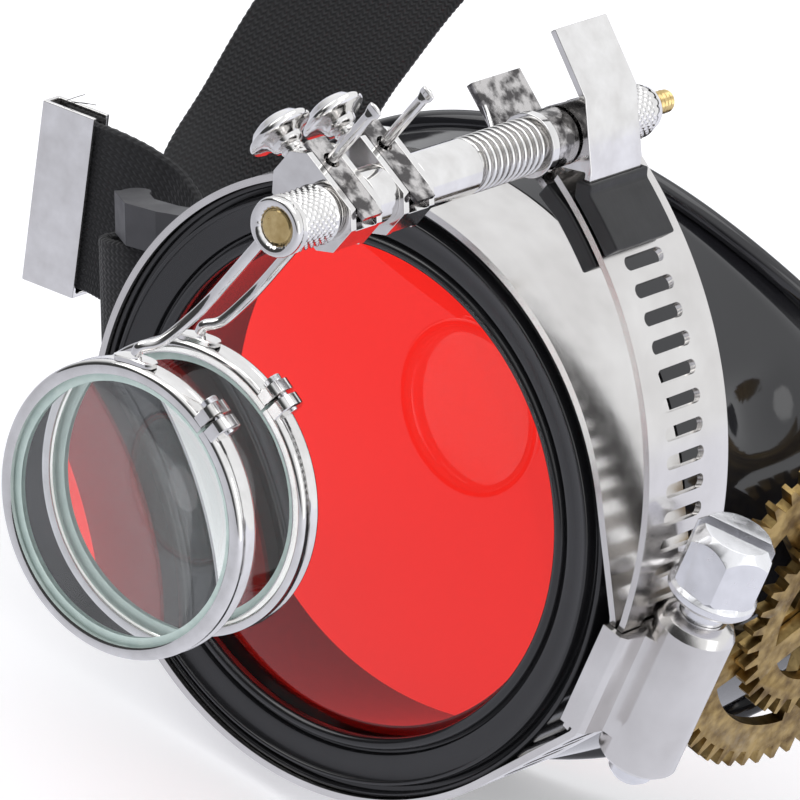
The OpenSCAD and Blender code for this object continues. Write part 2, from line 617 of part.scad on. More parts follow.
foot_r = rim_r + foot_bar / 2 + 0.02;
module loupe_arm(k) {
    ahead = rim_ahead[k];
    foot = [rim_shift + foot_r * cos(foot_angle), -ahead, -rim_drop + foot_r * sin(foot_angle)];
    along = [-sin(foot_angle), 0, cos(foot_angle)];
    color("#d0cecf") leaning(bracket_y[k]) {
        wire([[arm_x, 0, 10.4], [arm_x, 0, -17.4], [arm_x + 0.15, -ahead * 0.25, -20.4],
              [arm_x + 0.1, -ahead * 0.72, -24.2], foot + [-0.2, 0, 0.55], foot], arm_d);
        translate([arm_x, 0, 10.4]) cylinder(d1 = arm_d, d2 = arm_d - 0.3, h = 0.2);
        wire([foot - along * 2.2, foot + along * 1.8], foot_bar);
    }
}
module loupe_rim(k) {
    inner = rim_r - rim_wire;
    color("#d3d1d2") leaning(bracket_y[k]) translate([rim_shift, -rim_ahead[k], -rim_drop]) {
        difference() {
            union() {
                translate([0, -rim_t / 2, 0]) turned([
                    [inner, 0], [rim_r - 0.5, 0], [rim_r, 0.5], [rim_r, rim_t - 0.5],
                    [rim_r - 0.5, rim_t], [inner, rim_t], [inner, rim_t / 2 + 0.8],
                    [glass_r + 0.06, rim_t / 2 + 0.5], [glass_r + 0.06, rim_t / 2 - 0.5],
                    [inner, rim_t / 2 - 0.8]]);
                rotate([0, -closing_angle, 0]) translate([rim_r - 0.35, -1.35, -1.5])
                    cube([2.1, 2.7, 3.0]);
            }
            // the rim is split where its two ends are drawn together
            rotate([0, -closing_angle, 0]) translate([inner - 1, -3, -0.15]) cube([6, 6, 0.3]);
            rotate([0, -closing_angle, 0]) translate([rim_r + 0.95, 0, -3]) cylinder(r = 0.5 + run_fit, h = 6);
        }
    }
}
module loupe_glass(k) {
    edge = 0.45;
    crown = 1.7;
    dome = (glass_r * glass_r + (crown - edge) * (crown - edge)) / (2 * (crown - edge));
    arc = [for (i = [0:8]) let (r = glass_r * i / 8) [r, crown - dome + sqrt(dome * dome - r * r)]];
    color("#cfe6e4") leaning(bracket_y[k]) translate([rim_shift, -rim_ahead[k], -rim_drop])
        turned(concat(arc, [for (i = [8:-1:0]) [arc[i][0], -arc[i][1]]]));
}
module loupe_rim_screw(k) {
    color("#bcbabb") leaning(bracket_y[k]) translate([rim_shift, -rim_ahead[k], -rim_drop])
        rotate([0, -closing_angle, 0]) translate([rim_r + 0.95, 0, 0]) {
            translate([0, 0, -1.75]) cylinder(r = 0.5, h = 3.4);
            translate([0, 0, 1.5]) cylinder(r = 0.85, h = 0.6);
        }
}

// Strap: the centre line and the direction of its width, as hand-set stations
function lug_point(p) = nose_lug_at + [p[0] * cos(nose_lug_lean) + p[2] * sin(nose_lug_lean), p[1],
                                       -p[0] * sin(nose_lug_lean) + p[2] * cos(nose_lug_lean)];
lug_width = [sin(nose_lug_lean), 0, cos(nose_lug_lean)];
free_end = [[-60.3, 26.4, -3.3], [-57.7, 26.4, -2.9], [-55.1, 26.5, -2.5], [-52.5, 26.6, -2.2],
            [-49.6, 26.9, -2.3], [-46.6, 27.1, -2.9], [-43.6, 26.7, -3.9], [-40.9, 25.4, -5.1]];
free_width = [[-0.15, 0, 0.99], [-0.15, 0, 0.99], [-0.15, 0, 0.99], [-0.16, 0, 0.98],
              [-0.19, 0, 0.98], [-0.24, 0, 0.97], [-0.28, 0, 0.96], [-0.32, 0, 0.95]];
hairpin = [for (p = [[2.9, 3.7, 0], [3.5, 2.6, 0], [2.8, 1.9, 0], [1.3, 1.95, 0]]) lug_point(p)];
nose_wrap = [for (a = [90:30:270]) lug_point([nose_wrap_reach * cos(a), wrap_r * sin(a), 0])];
through = [for (p = [[1.4, -1.8, 0], [3.4, -1.2, 0], [5, 0.2, 0], [5.5, 2.6, 0], [5.3, 5, 0.3]])
    lug_point(p)];
crown = [[-39.4, 29.5, -6.4], [-42, 33.7, -3.6], [-45.2, 38, 0.4], [-46.7, 43.1, 6.6],
         [-47.4, 50.4, 16.9], [-45, 60.3, 31.3], [-34.5, 77, 50], [-18, 94, 64], [4, 108, 68],
         [27, 112, 60], [44, 106, 44], [52, 94, 26], [52, 82, 12], [48.6, 72, 4], [45.8, 64, 0.6]];
crown_width = [[-0.42, -0.1, 0.9], [-0.6, -0.25, 0.74], [-0.85, -0.33, 0.38], [-0.95, -0.15, 0.12],
               [-0.95, -0.14, 0.12], [-0.88, -0.3, 0.3], [-0.65, -0.5, 0.6], [-0.35, -0.6, 0.72],
               [-0.1, -0.62, 0.78], [0, -0.55, 0.84], [0, -0.45, 0.9], [0, -0.3, 0.95],
               [0, -0.15, 0.99], [0, 0, 1], [0, 0, 1]];
temple_wrap = [for (a = [0:-30:-180]) temple_lug_at + [wrap_r * cos(a), wrap_r * sin(a), 0]];
temple_tail = [[40.1, 60, 0], [40.4, 67, 0.4], [42, 74, 1.2]];
upright = [0, 0, 1];
strap_pts = concat(free_end, hairpin, nose_wrap, through, crown,
                   [temple_lug_at + [wrap_r, 4, 0]], temple_wrap, temple_tail);
strap_dirs = concat(free_width, [for (p = concat(hairpin, nose_wrap, through)) lug_width],
                    crown_width, [for (i = [0 : len(temple_wrap) + len(temple_tail)]) upright]);
function catmull(a, b, c, d, t) = 0.5 * (2 * b + (c - a) * t + (2 * a - 5 * b + 4 * c - d) * t * t
                                         + (3 * b - a - 3 * c + d) * t * t * t);
function smooth(p, steps) = let (n = len(p)) concat([for (i = [0:n - 2], k = [0:steps - 1])
    catmull(p[max(i - 1, 0)], p[i], p[i + 1], p[min(i + 2, n - 1)], k / steps)], [p[n - 1]]);
module head_strap() {
    line = smooth(strap_pts, strap_steps);
    wide = smooth(strap_dirs, strap_steps);
    rows = [for (i = [0:len(line) - 1]) let (t = tangent(line, i),
        w = unit(wide[i] - t * (wide[i] * t)), n = cross(t, w), h = strap_w / 2, q = strap_t / 2)
        [line[i] - w * h - n * q, line[i] + w * h - n * q,
         line[i] + w * h + n * q, line[i] - w * h + n * q]];
    color("#1d1c20") skin(rows);
}
// Metal end clip: a flattened tube pressed over the free end of the strap
clip_from = free_end[0];
clip_to = free_end[2];
clip_wall = 0.5;
module strap_end_clip() {
    len = norm(clip_to - clip_from) + 1.4;
    deep = strap_t + 0.3 + 2 * clip_wall;
    x = unit(clip_to - clip_from);
    z = unit(free_width[0] - x * (free_width[0] * x));
    y = cross(z, x);
    half = strap_w / 2 + 0.8;
    start = clip_from - x * 1.2;
    color("#dedcdc") multmatrix([[x[0], y[0], z[0], start[0]], [x[1], y[1], z[1], start[1]],
                                 [x[2], y[2], z[2], start[2]], [0, 0, 0, 1]]) difference() {
        translate([0, -deep / 2, -half]) cube([len, deep, 2 * half]);
        translate([clip_wall, -deep / 2 + clip_wall, -half + clip_wall])
            cube([len, deep - 2 * clip_wall, 2 * half - 2 * clip_wall + 2]);
    }
}

eye_cup();
bezel_ring();
lens_gasket();
red_lens();
nose_lug();
temple_lug();
head_strap();
strap_end_clip();
clamp_band();
clamp_housing();
clamp_screw();
boot(0);  // jaw_boot
large_gear();
small_gear();
gear_post();
gear_washer();
clip_jaw();
clip_lever();
boot(1);  // lever_boot
torsion_spring();
spring_washer();
pressure_sleeve();
bracket_spacer();
pivot_tube();
threaded_rod();
front_nut();
rear_nut();
loupe_bracket(0);  // front_bracket
loupe_bracket(1);  // rear_bracket
loupe_clamp_block(0);  // front_clamp_block
loupe_clamp_block(1);  // rear_clamp_block
loupe_thumb_screw(0);  // front_thumb_screw
loupe_thumb_screw(1);  // rear_thumb_screw
loupe_arm(0);  // front_arm
loupe_arm(1);  // rear_arm
loupe_rim(0);  // front_rim
loupe_rim(1);  // rear_rim
loupe_glass(0);  // front_glass
loupe_glass(1);  // rear_glass
loupe_rim_screw(0);  // front_rim_screw
loupe_rim_screw(1);  // rear_rim_screw
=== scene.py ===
# %% [markdown]
# # A one-eyed steampunk goggle, dressed for its portrait
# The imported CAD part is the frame: it fixes every size and every place. This notebook puts the looks
# round it, piece by piece: glossy black plastic, red glass, nickel wire, aged brass and elastic webbing.
# All lengths are written in millimetres and scaled to metres in one place, because Blender works in metres.

# %% Load the frame
import json
import math

import bmesh
import bpy
import numpy as np
from mathutils import Matrix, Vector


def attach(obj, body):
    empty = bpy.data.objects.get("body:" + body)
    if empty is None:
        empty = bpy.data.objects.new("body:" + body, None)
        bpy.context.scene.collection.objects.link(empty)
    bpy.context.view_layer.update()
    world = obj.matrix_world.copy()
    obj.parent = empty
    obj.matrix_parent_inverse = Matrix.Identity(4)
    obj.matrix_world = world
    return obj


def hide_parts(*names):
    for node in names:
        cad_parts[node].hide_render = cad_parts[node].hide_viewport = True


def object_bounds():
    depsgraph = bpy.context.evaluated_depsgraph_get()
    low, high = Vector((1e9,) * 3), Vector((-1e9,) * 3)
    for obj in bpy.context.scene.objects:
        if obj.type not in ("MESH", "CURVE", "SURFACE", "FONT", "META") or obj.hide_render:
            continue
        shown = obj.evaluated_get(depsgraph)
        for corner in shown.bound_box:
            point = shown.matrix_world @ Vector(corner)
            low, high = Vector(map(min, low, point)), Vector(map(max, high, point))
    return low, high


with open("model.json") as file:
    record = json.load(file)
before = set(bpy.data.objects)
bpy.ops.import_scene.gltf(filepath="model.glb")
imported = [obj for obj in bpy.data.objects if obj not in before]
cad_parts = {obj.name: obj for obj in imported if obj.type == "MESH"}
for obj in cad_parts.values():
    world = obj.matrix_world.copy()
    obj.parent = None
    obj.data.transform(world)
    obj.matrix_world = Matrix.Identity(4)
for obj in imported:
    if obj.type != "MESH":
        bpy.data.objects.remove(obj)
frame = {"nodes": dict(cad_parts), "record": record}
CAD_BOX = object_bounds()
MM = 0.001
NODE_BODY = {n: b for b, ns in frame["record"]["behaviour"]["bodies"].items() for n in ns}
NODE_SLOT = {s["node"]: s["material_slot"] for s in frame["record"]["subparts"]}

# %% [markdown]
# ## Camera
# The picture was taken from about 90 cm with a long lens, so it is nearly a parallel view. The camera's place
# and its three directions were solved from the round edges of the bezel.

# %% Camera
CAM_AT = np.array([434.35, -691.74, 409.63])
CAM_RIGHT = np.array([0.7544, 0.6097, 0.2433])
CAM_UP = np.array([-0.453, 0.2152, 0.8652])
CAM_BACK = np.cross(CAM_RIGHT, CAM_UP)
camera_data = bpy.data.cameras.new("camera")
camera_data.sensor_width = 36.0
camera_data.lens = 425.25
camera_data.clip_start = 0.02
camera_data.clip_end = 20.0
camera = bpy.data.objects.new("camera", camera_data)
bpy.context.scene.collection.objects.link(camera)
turn = np.eye(4)
turn[:3, :3] = np.stack([CAM_RIGHT, CAM_UP, CAM_BACK], 1)
turn[:3, 3] = CAM_AT * MM
camera.matrix_world = Matrix(turn.tolist())
bpy.context.scene.camera = camera
print("camera", np.round(CAM_AT), "lens", camera_data.lens)

# %% [markdown]
# ## Shared shader groups
# Real surfaces are never one flat value. Three small groups are built once and used by many materials:
# soft clouds for colour and gloss, fine scratches that all run one way, and small pits. Each gives only a
# mask or a height. The helpers come first: they make, fill and join shader nodes.

# %% Node helpers
class Graph:
    """A node tree with short calls. A value that is a socket is linked; any other value is set."""

    def __init__(self, tree):
        self.tree, self.nodes, self.link = tree, tree.nodes, tree.links.new

    def fill(self, node, sockets):
        """Links or sets the inputs of a node."""
        for key, value in sockets.items():
            if hasattr(value, "is_output"):
                self.link(value, node.inputs[key])
            else:
                node.inputs[key].default_value = value

    def add(self, kind, sockets, **settings):
        """A new node with its settings made and its inputs filled."""
        node = self.nodes.new("ShaderNode" + kind)
        for key, value in settings.items():
            setattr(node, key, value)
        self.fill(node, sockets)
        return node

    def math(self, kind, *values, clamp=False):
        """The output of one math node."""
        return self.add("Math", dict(enumerate(values)), operation=kind, use_clamp=clamp).outputs[0]

    def along(self, where, way):
        """The distance of a point along a direction."""
        return self.add("VectorMath", {0: where, 1: way}, operation="DOT_PRODUCT").outputs["Value"]

    def remap(self, value, old, new, kind="LINEAR"):
        """A value carried from one range to another."""
        sockets = {"Value": value, "From Min": old[0], "From Max": old[1], "To Min": new[0], "To Max": new[1]}
        return self.add("MapRange", sockets, interpolation_type=kind).outputs["Result"]

    def mix(self, factor, dark, light):
        """A colour between two others."""
        sockets = {"Factor": factor, "A": (*dark, 1), "B": (*light, 1)}
        return self.add("Mix", sockets, data_type="RGBA").outputs["Result"]

    def choose(self, factor, first, second):
        """One of two shaders."""
        return self.add("MixShader", {0: factor, 1: first, 2: second}).outputs[0]

    def bump(self, height, strength, distance):
        """The normal bent by a height; the distance is in mm."""
        sockets = {"Strength": strength, "Distance": distance * MM, "Height": height}
        return self.add("Bump", sockets).outputs["Normal"]


# %% Shader groups
def new_group(name, inputs, output):
    """A shader node group: a vector input, named inputs with their values, and one float output."""
    group = bpy.data.node_groups.new(name, "ShaderNodeTree")
    group.interface.new_socket("Vector", in_out="INPUT", socket_type="NodeSocketVector")
    for label, value in inputs.items():
        kind = "NodeSocketVector" if isinstance(value, tuple) else "NodeSocketFloat"
        group.interface.new_socket(label, in_out="INPUT", socket_type=kind).default_value = value
    group.interface.new_socket(output, in_out="OUTPUT", socket_type="NodeSocketFloat")
    graph = Graph(group)
    return graph, graph.nodes.new("NodeGroupInput").outputs, graph.nodes.new("NodeGroupOutput").inputs[output]


def clouds_group():
    """Mask = clamp((noise(p * Scale) - 0.5) * Contrast + 0.5)."""
    g, given, result = new_group("clouds", {"Scale": 300.0, "Detail": 4.0, "Contrast": 2.0}, "Mask")
    noise = g.add("TexNoise", {key: given[key] for key in ("Vector", "Scale", "Detail")})
    less = g.math("SUBTRACT", noise.outputs["Fac"], 0.5)
    g.link(g.math("MULTIPLY_ADD", less, given["Contrast"], 0.5, clamp=True), result)
    return g.tree


def scratches_group():
    """Height = noise of the point stretched along one direction, so that it reads as fine lines."""
    g, given, result = new_group("scratches", {"Stretch": (1.0, 1.0, 1.0), "Scale": 4000.0}, "Height")
    scaled = g.add("VectorMath", {0: given["Vector"], 1: given["Stretch"]}, operation="MULTIPLY").outputs[0]
    noise = g.add("TexNoise", {"Vector": scaled, "Scale": given["Scale"], "Detail": 3.0})
    g.link(noise.outputs["Fac"], result)
    return g.tree


def pits_group():
    """Height = distance to the nearest cell centre, raised so that only small pits remain."""
    g, given, result = new_group("pits", {"Scale": 1500.0, "Depth": 4.0}, "Height")
    cells = g.add("TexVoronoi", {"Vector": given["Vector"], "Scale": given["Scale"]})
    g.link(g.math("MULTIPLY", cells.outputs["Distance"], given["Depth"], clamp=True), result)
    return g.tree


CLOUDS, SCRATCHES, PITS = clouds_group(), scratches_group(), pits_group()
print("groups", [g.name for g in (CLOUDS, SCRATCHES, PITS)])

# %% [markdown]
# ## Materials
# Every finish is a Principled shader. Metals differ by colour, by how much their gloss wanders and by the
# size of their marks. Plastics are almost black, so their look is all in the gloss and the coat.

# %% A material builder
def new_material(name, values):
    """A material with the given values on its Principled shader, and its node graph."""
    mat = bpy.data.materials.new(name)
    mat.use_nodes = True
    graph = Graph(mat.node_tree)
    bsdf = graph.nodes["Principled BSDF"]
    graph.fill(bsdf, values)
    return mat, graph, bsdf


def shade(name, dark, light, rough, metallic=0.0, cloud=300.0, contrast=2.0, bump=0.0, marks="clouds",
          mark_scale=2500.0, stretch=(1, 1, 1), distance=0.02, coat=0.0):
    """Colour = mix(dark, light, clouds); roughness = mix(rough[0], rough[1], finer clouds);
    the bump comes from clouds, scratches or pits."""
    fixed = {"Metallic": metallic, "Coat Weight": coat, "Coat Roughness": 0.05, "IOR": 1.5}
    mat, g, bsdf = new_material(name, fixed)
    where = g.add("TexCoord", {}).outputs["Object"]

    def place(group, **values):
        node = g.add("Group", {}, node_tree=group)
        g.fill(node, {"Vector": where, **values})
        return node.outputs[0]

    finer = place(CLOUDS, Scale=cloud * 2.7, Detail=6.0, Contrast=contrast)
    g.fill(bsdf, {"Base Color": g.mix(place(CLOUDS, Scale=cloud, Contrast=contrast), dark, light),
                  "Roughness": g.remap(finer, (0, 1), rough)})
    if bump:
        group, values = {"clouds": (CLOUDS, dict(Detail=6.0, Contrast=1.5)),
                         "scratches": (SCRATCHES, dict(Stretch=stretch)), "pits": (PITS, {})}[marks]
        height = place(group, Scale=mark_scale, **values)
        g.link(g.bump(height, bump, distance), bsdf.inputs["Normal"])
    return mat


def glass(name, colour, ior):
    """Clear or tinted solid glass: all transmission, with the colour on the shader's own socket."""
    return new_material(name, {"Base Color": (*colour, 1), "Transmission Weight": 1.0, "Roughness": 0.0,
                               "IOR": ior})[0]


# %% The finishes
FINISH = {
    "cup_plastic": shade("cup_plastic", (0.010, 0.010, 0.012), (0.014, 0.014, 0.017), (0.06, 0.14), cloud=60,
                         bump=0.12, mark_scale=120, distance=0.25, coat=0.35),
    "bezel_plastic": shade("bezel_plastic", (0.008, 0.008, 0.009), (0.013, 0.013, 0.015), (0.12, 0.22),
                           cloud=90, bump=0.05, mark_scale=900, coat=0.3),
    "lug_plastic": shade("lug_plastic", (0.022, 0.022, 0.026), (0.04, 0.04, 0.046), (0.38, 0.55), cloud=150,
                         bump=0.25, mark_scale=2600),
    "rubber": shade("rubber", (0.010, 0.010, 0.011), (0.020, 0.020, 0.022), (0.28, 0.5), cloud=220, bump=0.35,
                    marks="scratches", stretch=(0.25, 1, 0.25), mark_scale=2600, distance=0.04),
    "red_glass": glass("red_glass", (0.90, 0.022, 0.016), 1.49),
    "clear_glass": glass("clear_glass", (0.965, 0.985, 0.98), 1.5),
    "nickel": shade("nickel", (0.74, 0.725, 0.71), (0.90, 0.89, 0.88), (0.06, 0.15), 1.0, cloud=420,
                    bump=0.06, mark_scale=1800, distance=0.03),
    "dark_nickel": shade("dark_nickel", (0.10, 0.095, 0.095), (0.62, 0.60, 0.59), (0.10, 0.28), 1.0,
                         cloud=700, contrast=6, bump=0.2, mark_scale=2400),
    "stainless": shade("stainless", (0.66, 0.64, 0.625), (0.80, 0.785, 0.77), (0.14, 0.24), 1.0, cloud=160,
                       bump=0.10, marks="scratches", stretch=(0.08, 1, 0.08), mark_scale=6000),
    "zinc": shade("zinc", (0.80, 0.80, 0.82), (0.93, 0.93, 0.95), (0.16, 0.30), 1.0, cloud=380, bump=0.16,
                  mark_scale=1500, distance=0.04),
    "aged_brass": shade("aged_brass", (0.17, 0.105, 0.038), (0.52, 0.37, 0.15), (0.28, 0.52), 1.0, cloud=520,
                        contrast=3, bump=0.5, marks="pits", mark_scale=1500, distance=0.05),
    "dark_brass": shade("dark_brass", (0.045, 0.032, 0.020), (0.20, 0.14, 0.075), (0.35, 0.6), 1.0, cloud=700,
                        contrast=3, bump=0.4, mark_scale=1800),
    "bright_brass": shade("bright_brass", (0.50, 0.35, 0.14), (0.80, 0.63, 0.32), (0.14, 0.3), 1.0, cloud=900,
                          bump=0.2, mark_scale=3000),
}
print("finishes", sorted(FINISH))

# %% [markdown]
# ## Mesh helpers
# Two kinds of pieces follow. A *surface* is a grid of points worked out with numpy, closed into a tube or a
# ring. A *dressed* piece is a copy of a CAD node: its flat triangles are merged back into faces and its
# edges are bevelled, because a real edge always catches a thin line of light.

# %% Mesh helpers
SMOOTH_UNDER = math.radians(34)
WIDE = 1.2                       # the same limit in radians for wires, threads and knurls


def make_piece(mesh, body, slot, *stands_for, sharp=SMOOTH_UNDER, material=None):
    """A piece with its mesh's name: smooth apart from edges steeper than the limit, with its material, the
    CAD body that it rides on and the nodes that it stands for."""
    mesh.shade_smooth()
    mesh.set_sharp_from_angle(angle=sharp)
    mesh.materials.clear()
    mesh.materials.append(material or FINISH[slot])
    obj = bpy.data.objects.new(mesh.name, mesh)
    bpy.context.scene.collection.objects.link(obj)
    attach(obj, body)
    if stands_for:
        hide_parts(*stands_for)
    return obj


def clean(mesh):
    """Merges doubles, so that seams and poles close, and turns the faces outwards."""
    bm = bmesh.new()
    bm.from_mesh(mesh)
    bmesh.ops.remove_doubles(bm, verts=bm.verts, dist=1e-7)
    bmesh.ops.dissolve_degenerate(bm, edges=bm.edges, dist=1e-8)
    loose = [edge for edge in bm.edges if not edge.link_faces]
    bmesh.ops.delete(bm, geom=loose, context="EDGES")
    bmesh.ops.recalc_face_normals(bm, faces=bm.faces)
    bm.to_mesh(mesh)
    bm.free()


def grid_mesh(name, points, capped=False, uv=None):
    """A mesh from a grid of points (rows, columns, 3) in mm. Each row closes on itself. The last row joins
    the first one, or both are filled as the caps of an open tube."""
    rows, cols = points.shape[:2]
    uu, vv = np.meshgrid(np.arange(rows - capped), np.arange(cols), indexing="ij")
    at = lambda a, b: (a % rows) * cols + (b % cols)
    faces = np.stack([at(uu, vv), at(uu + 1, vv), at(uu + 1, vv + 1), at(uu, vv + 1)], -1).reshape(-1, 4)
    faces = faces.tolist()
    if capped:
        faces += [list(range(cols)), list(range((rows - 1) * cols, rows * cols))[::-1]]
    mesh = bpy.data.meshes.new(name)
    mesh.from_pydata((points.reshape(-1, 3) * MM).tolist(), [], faces)
    if uv is not None:
        layer = mesh.uv_layers.new(name="UVMap")
        index = np.empty(len(mesh.loops), np.int32)
        mesh.loops.foreach_get("vertex_index", index)
        layer.data.foreach_set("uv", uv.reshape(-1, 2)[index].astype(np.float32).ravel())
    clean(mesh)
    return mesh


def turned(name, profile, at=(0, 0, 0), axis=(0, 1, 0), sides=128, relief=None):
    """A turned shape: each profile point (radius r, place h) goes round the axis at
    centre + h * axis + r * (cos t * a + sin t * b). relief(t, h) is added to r, as for a thread."""
    axis = np.asarray(axis, float) / np.linalg.norm(axis)
    side = np.cross(axis, [0.0, 0.0, 1.0] if abs(axis[2]) < 0.9 else [1.0, 0.0, 0.0])
    side /= np.linalg.norm(side)
    other = np.cross(axis, side)
    t = np.linspace(0, 2 * np.pi, sides, endpoint=False)[:, None, None]
    r, h = np.asarray(profile, float).T[:, None, :, None]
    if relief is not None:
        r = r + relief(t, h)
    points = np.asarray(at, float) + h * axis + r * (np.cos(t) * side + np.sin(t) * other)
    return grid_mesh(name, points)


def arc(centre, radius, start, end, steps=8):
    """Points of a circular arc in a profile, from angle start to angle end in degrees."""
    t = np.radians(np.linspace(start, end, steps))
    return np.stack([centre[0] + radius * np.cos(t), centre[1] + radius * np.sin(t)], 1).tolist()


def smooth_path(points, per_span=8):
    """A Catmull-Rom curve through the points: each span is the usual cubic of its four neighbours."""
    p = np.asarray(points, float)
    p = np.vstack([2 * p[0] - p[1], p, 2 * p[-1] - p[-2]])
    t = np.linspace(0, 1, per_span, endpoint=False)[None, :, None]
    a, b, c, d = (p[i:len(p) - 3 + i, None] for i in range(4))
    curve = 0.5 * (2 * b + (c - a) * t + (2 * a - 5 * b + 4 * c - d) * t**2 + (3 * b - a - 3 * c + d) * t**3)
    return np.vstack([curve.reshape(-1, p.shape[1]), p[-2]])


def tube_mesh(name, path, radius, sides=16, flat=None):
    """A round wire: at each path point a circle squared off to the tangent, carried without twist.
    flat = (first scale, second scale) per path point presses the circle into an oval."""
    path = np.asarray(path, float)
    tangent = np.gradient(path, axis=0)
    tangent /= np.linalg.norm(tangent, axis=1)[:, None]
    up = np.zeros_like(path)
    start = np.cross(tangent[0], [0.0, 1.0, 0.0] if abs(tangent[0][1]) < 0.9 else [1.0, 0.0, 0.0])
    up[0] = start / np.linalg.norm(start)
    for i in range(1, len(path)):
        carried = up[i - 1] - tangent[i] * (up[i - 1] @ tangent[i])
        up[i] = carried / np.linalg.norm(carried)
    side = np.cross(tangent, up)
    t = np.linspace(0, 2 * np.pi, sides, endpoint=False)
    scale = np.ones((len(path), 2)) if flat is None else np.asarray(flat, float)
    radius = np.broadcast_to(np.asarray(radius, float), (len(path),))[:, None, None]
    ring = (np.cos(t)[None, :, None] * up[:, None] * scale[:, 0, None, None]
            + np.sin(t)[None, :, None] * side[:, None] * scale[:, 1, None, None])
    return grid_mesh(name, path[:, None] + radius * ring, capped=True)


def bevel(obj, width, segments, angle):
    """Rounds the edges that are steeper than the angle."""
    mod = obj.modifiers.new("soft_edges", "BEVEL")
    mod.width = width * MM
    mod.segments = segments
    mod.limit_method = "ANGLE"
    mod.angle_limit = math.radians(angle)
    mod.harden_normals = True
    mod.miter_outer = "MITER_ARC"


def dressed(node, width, segments=2, angle=32):
    """A copy of a CAD node with merged faces and soft edges, which stands for the node."""
    mesh = frame["nodes"][node].data.copy()
    bm = bmesh.new()
    bm.from_mesh(mesh)
    bmesh.ops.remove_doubles(bm, verts=bm.verts, dist=2e-6)
    bmesh.ops.dissolve_limit(bm, angle_limit=math.radians(1.0), verts=bm.verts, edges=bm.edges)
    bm.to_mesh(mesh)
    bm.free()
    mesh.name = node + "_dressed"
    bevel(make_piece(mesh, NODE_BODY[node], NODE_SLOT[node], node), width, segments, angle)


def polar(r, a):
    """Points of the XZ plane at radius r and at angle a in degrees."""
    return np.stack([r * np.cos(np.radians(a)), r * np.sin(np.radians(a))], -1)


print("helpers ready")

# %% [markdown]
# ## Eye cup
# A moulded cup flares from the screw ring to the face. Seen along its axis the rim is a circle that is a
# little wider and much deeper at the temple. So the wall is one profile whose end slides with the angle:
# a share between 0 at the nose and 1 at the temple drives both. A dent beside it is the vent's dimple.

# %% Eye cup
SHOULDER = (31.2, 13.5)          # radius and depth where the flare starts
CUP_WALL = 2.2
SPIGOT_R, SPIGOT_Y = 28.3, 5.0   # the spigot sits inside the screw ring
TUBE_IN, TUBE_OUT = 24.8, 26.3
TUBE_BACK = 19.4                 # the lens tube goes on inside the cup to this depth
BEAD = 1.3
DIMPLE = dict(angle=31.6, depth=25.5, height=1.25, half_angle=6.6, half_length=4.4)


def rim_depth(share):
    """Depth of the face rim: 20 mm, plus 14.4 * share^1.6 and 17.6 * share^8."""
    return 20 + 32 * (0.45 * share**1.6 + 0.55 * share**8)


def rim_radius(share):
    """Radius of the face rim: 32.1 mm plus 3.1 * share^3.2."""
    return 32.1 + 3.1 * share**3.2


def cup_points(turns=360, along=26):
    """Rows go round the cup. Each row is a closed profile: spigot, shoulder, wall, bead, inner wall, tube."""
    a = np.linspace(0, 360, turns, endpoint=False)
    share = (1 + np.cos(np.radians(a))) / 2
    depth, radius = rim_depth(share)[:, None], rim_radius(share)[:, None]
    s = np.linspace(0.02, 0.95, along)[None]
    wall_y = SHOULDER[1] + (depth - SHOULDER[1]) * s
    wall_r = SHOULDER[0] + (radius - SHOULDER[0]) * s
    off = np.where(a > 180, a - 360, a)[:, None] - DIMPLE["angle"]
    hollow = np.exp(-np.abs(off / DIMPLE["half_angle"])**2.6
                    - np.abs((wall_y - DIMPLE["depth"]) / DIMPLE["half_length"])**2.6)
    outer_r = wall_r - DIMPLE["height"] * hollow - 0.5 * np.clip((s - 0.8) / 0.1, 0, 1)
    t = np.radians(np.linspace(-95, 95, 15))[None]
    bead_r = radius - 0.2 + BEAD * np.cos(t)
    bead_y = depth + BEAD * np.sin(t)
    ones = np.ones_like(radius)
    r = np.hstack([TUBE_IN * ones, SPIGOT_R * ones, SPIGOT_R * ones, SHOULDER[0] * ones, outer_r, bead_r,
                   (wall_r - CUP_WALL)[:, ::-1], TUBE_OUT * ones, TUBE_OUT * ones, TUBE_IN * ones])
    y = np.hstack([SPIGOT_Y * ones, SPIGOT_Y * ones, SHOULDER[1] * ones, SHOULDER[1] * ones, wall_y, bead_y,
                   (wall_y + 0.4 * (1 - s))[:, ::-1], 14.7 * ones, TUBE_BACK * ones, TUBE_BACK * ones])
    xz = polar(r, a[:, None])
    return np.stack([xz[..., 0], y, xz[..., 1]], -1)


cup = make_piece(grid_mesh("cup_shell", cup_points()), "goggle", "cup_plastic", "eye_cup")
print("cup faces", len(cup.data.polygons))

# %% [markdown]
# ## Bezel, lens and gasket
# The screw ring is turned: a thin outer edge, a deep groove, a glossy land that is a little hollow, and a
# bead that holds the lens. One profile carried round the axis gives all of it. The red lens is a plain disc
# of tinted glass with real thickness, so its colour deepens and its edge catches light.

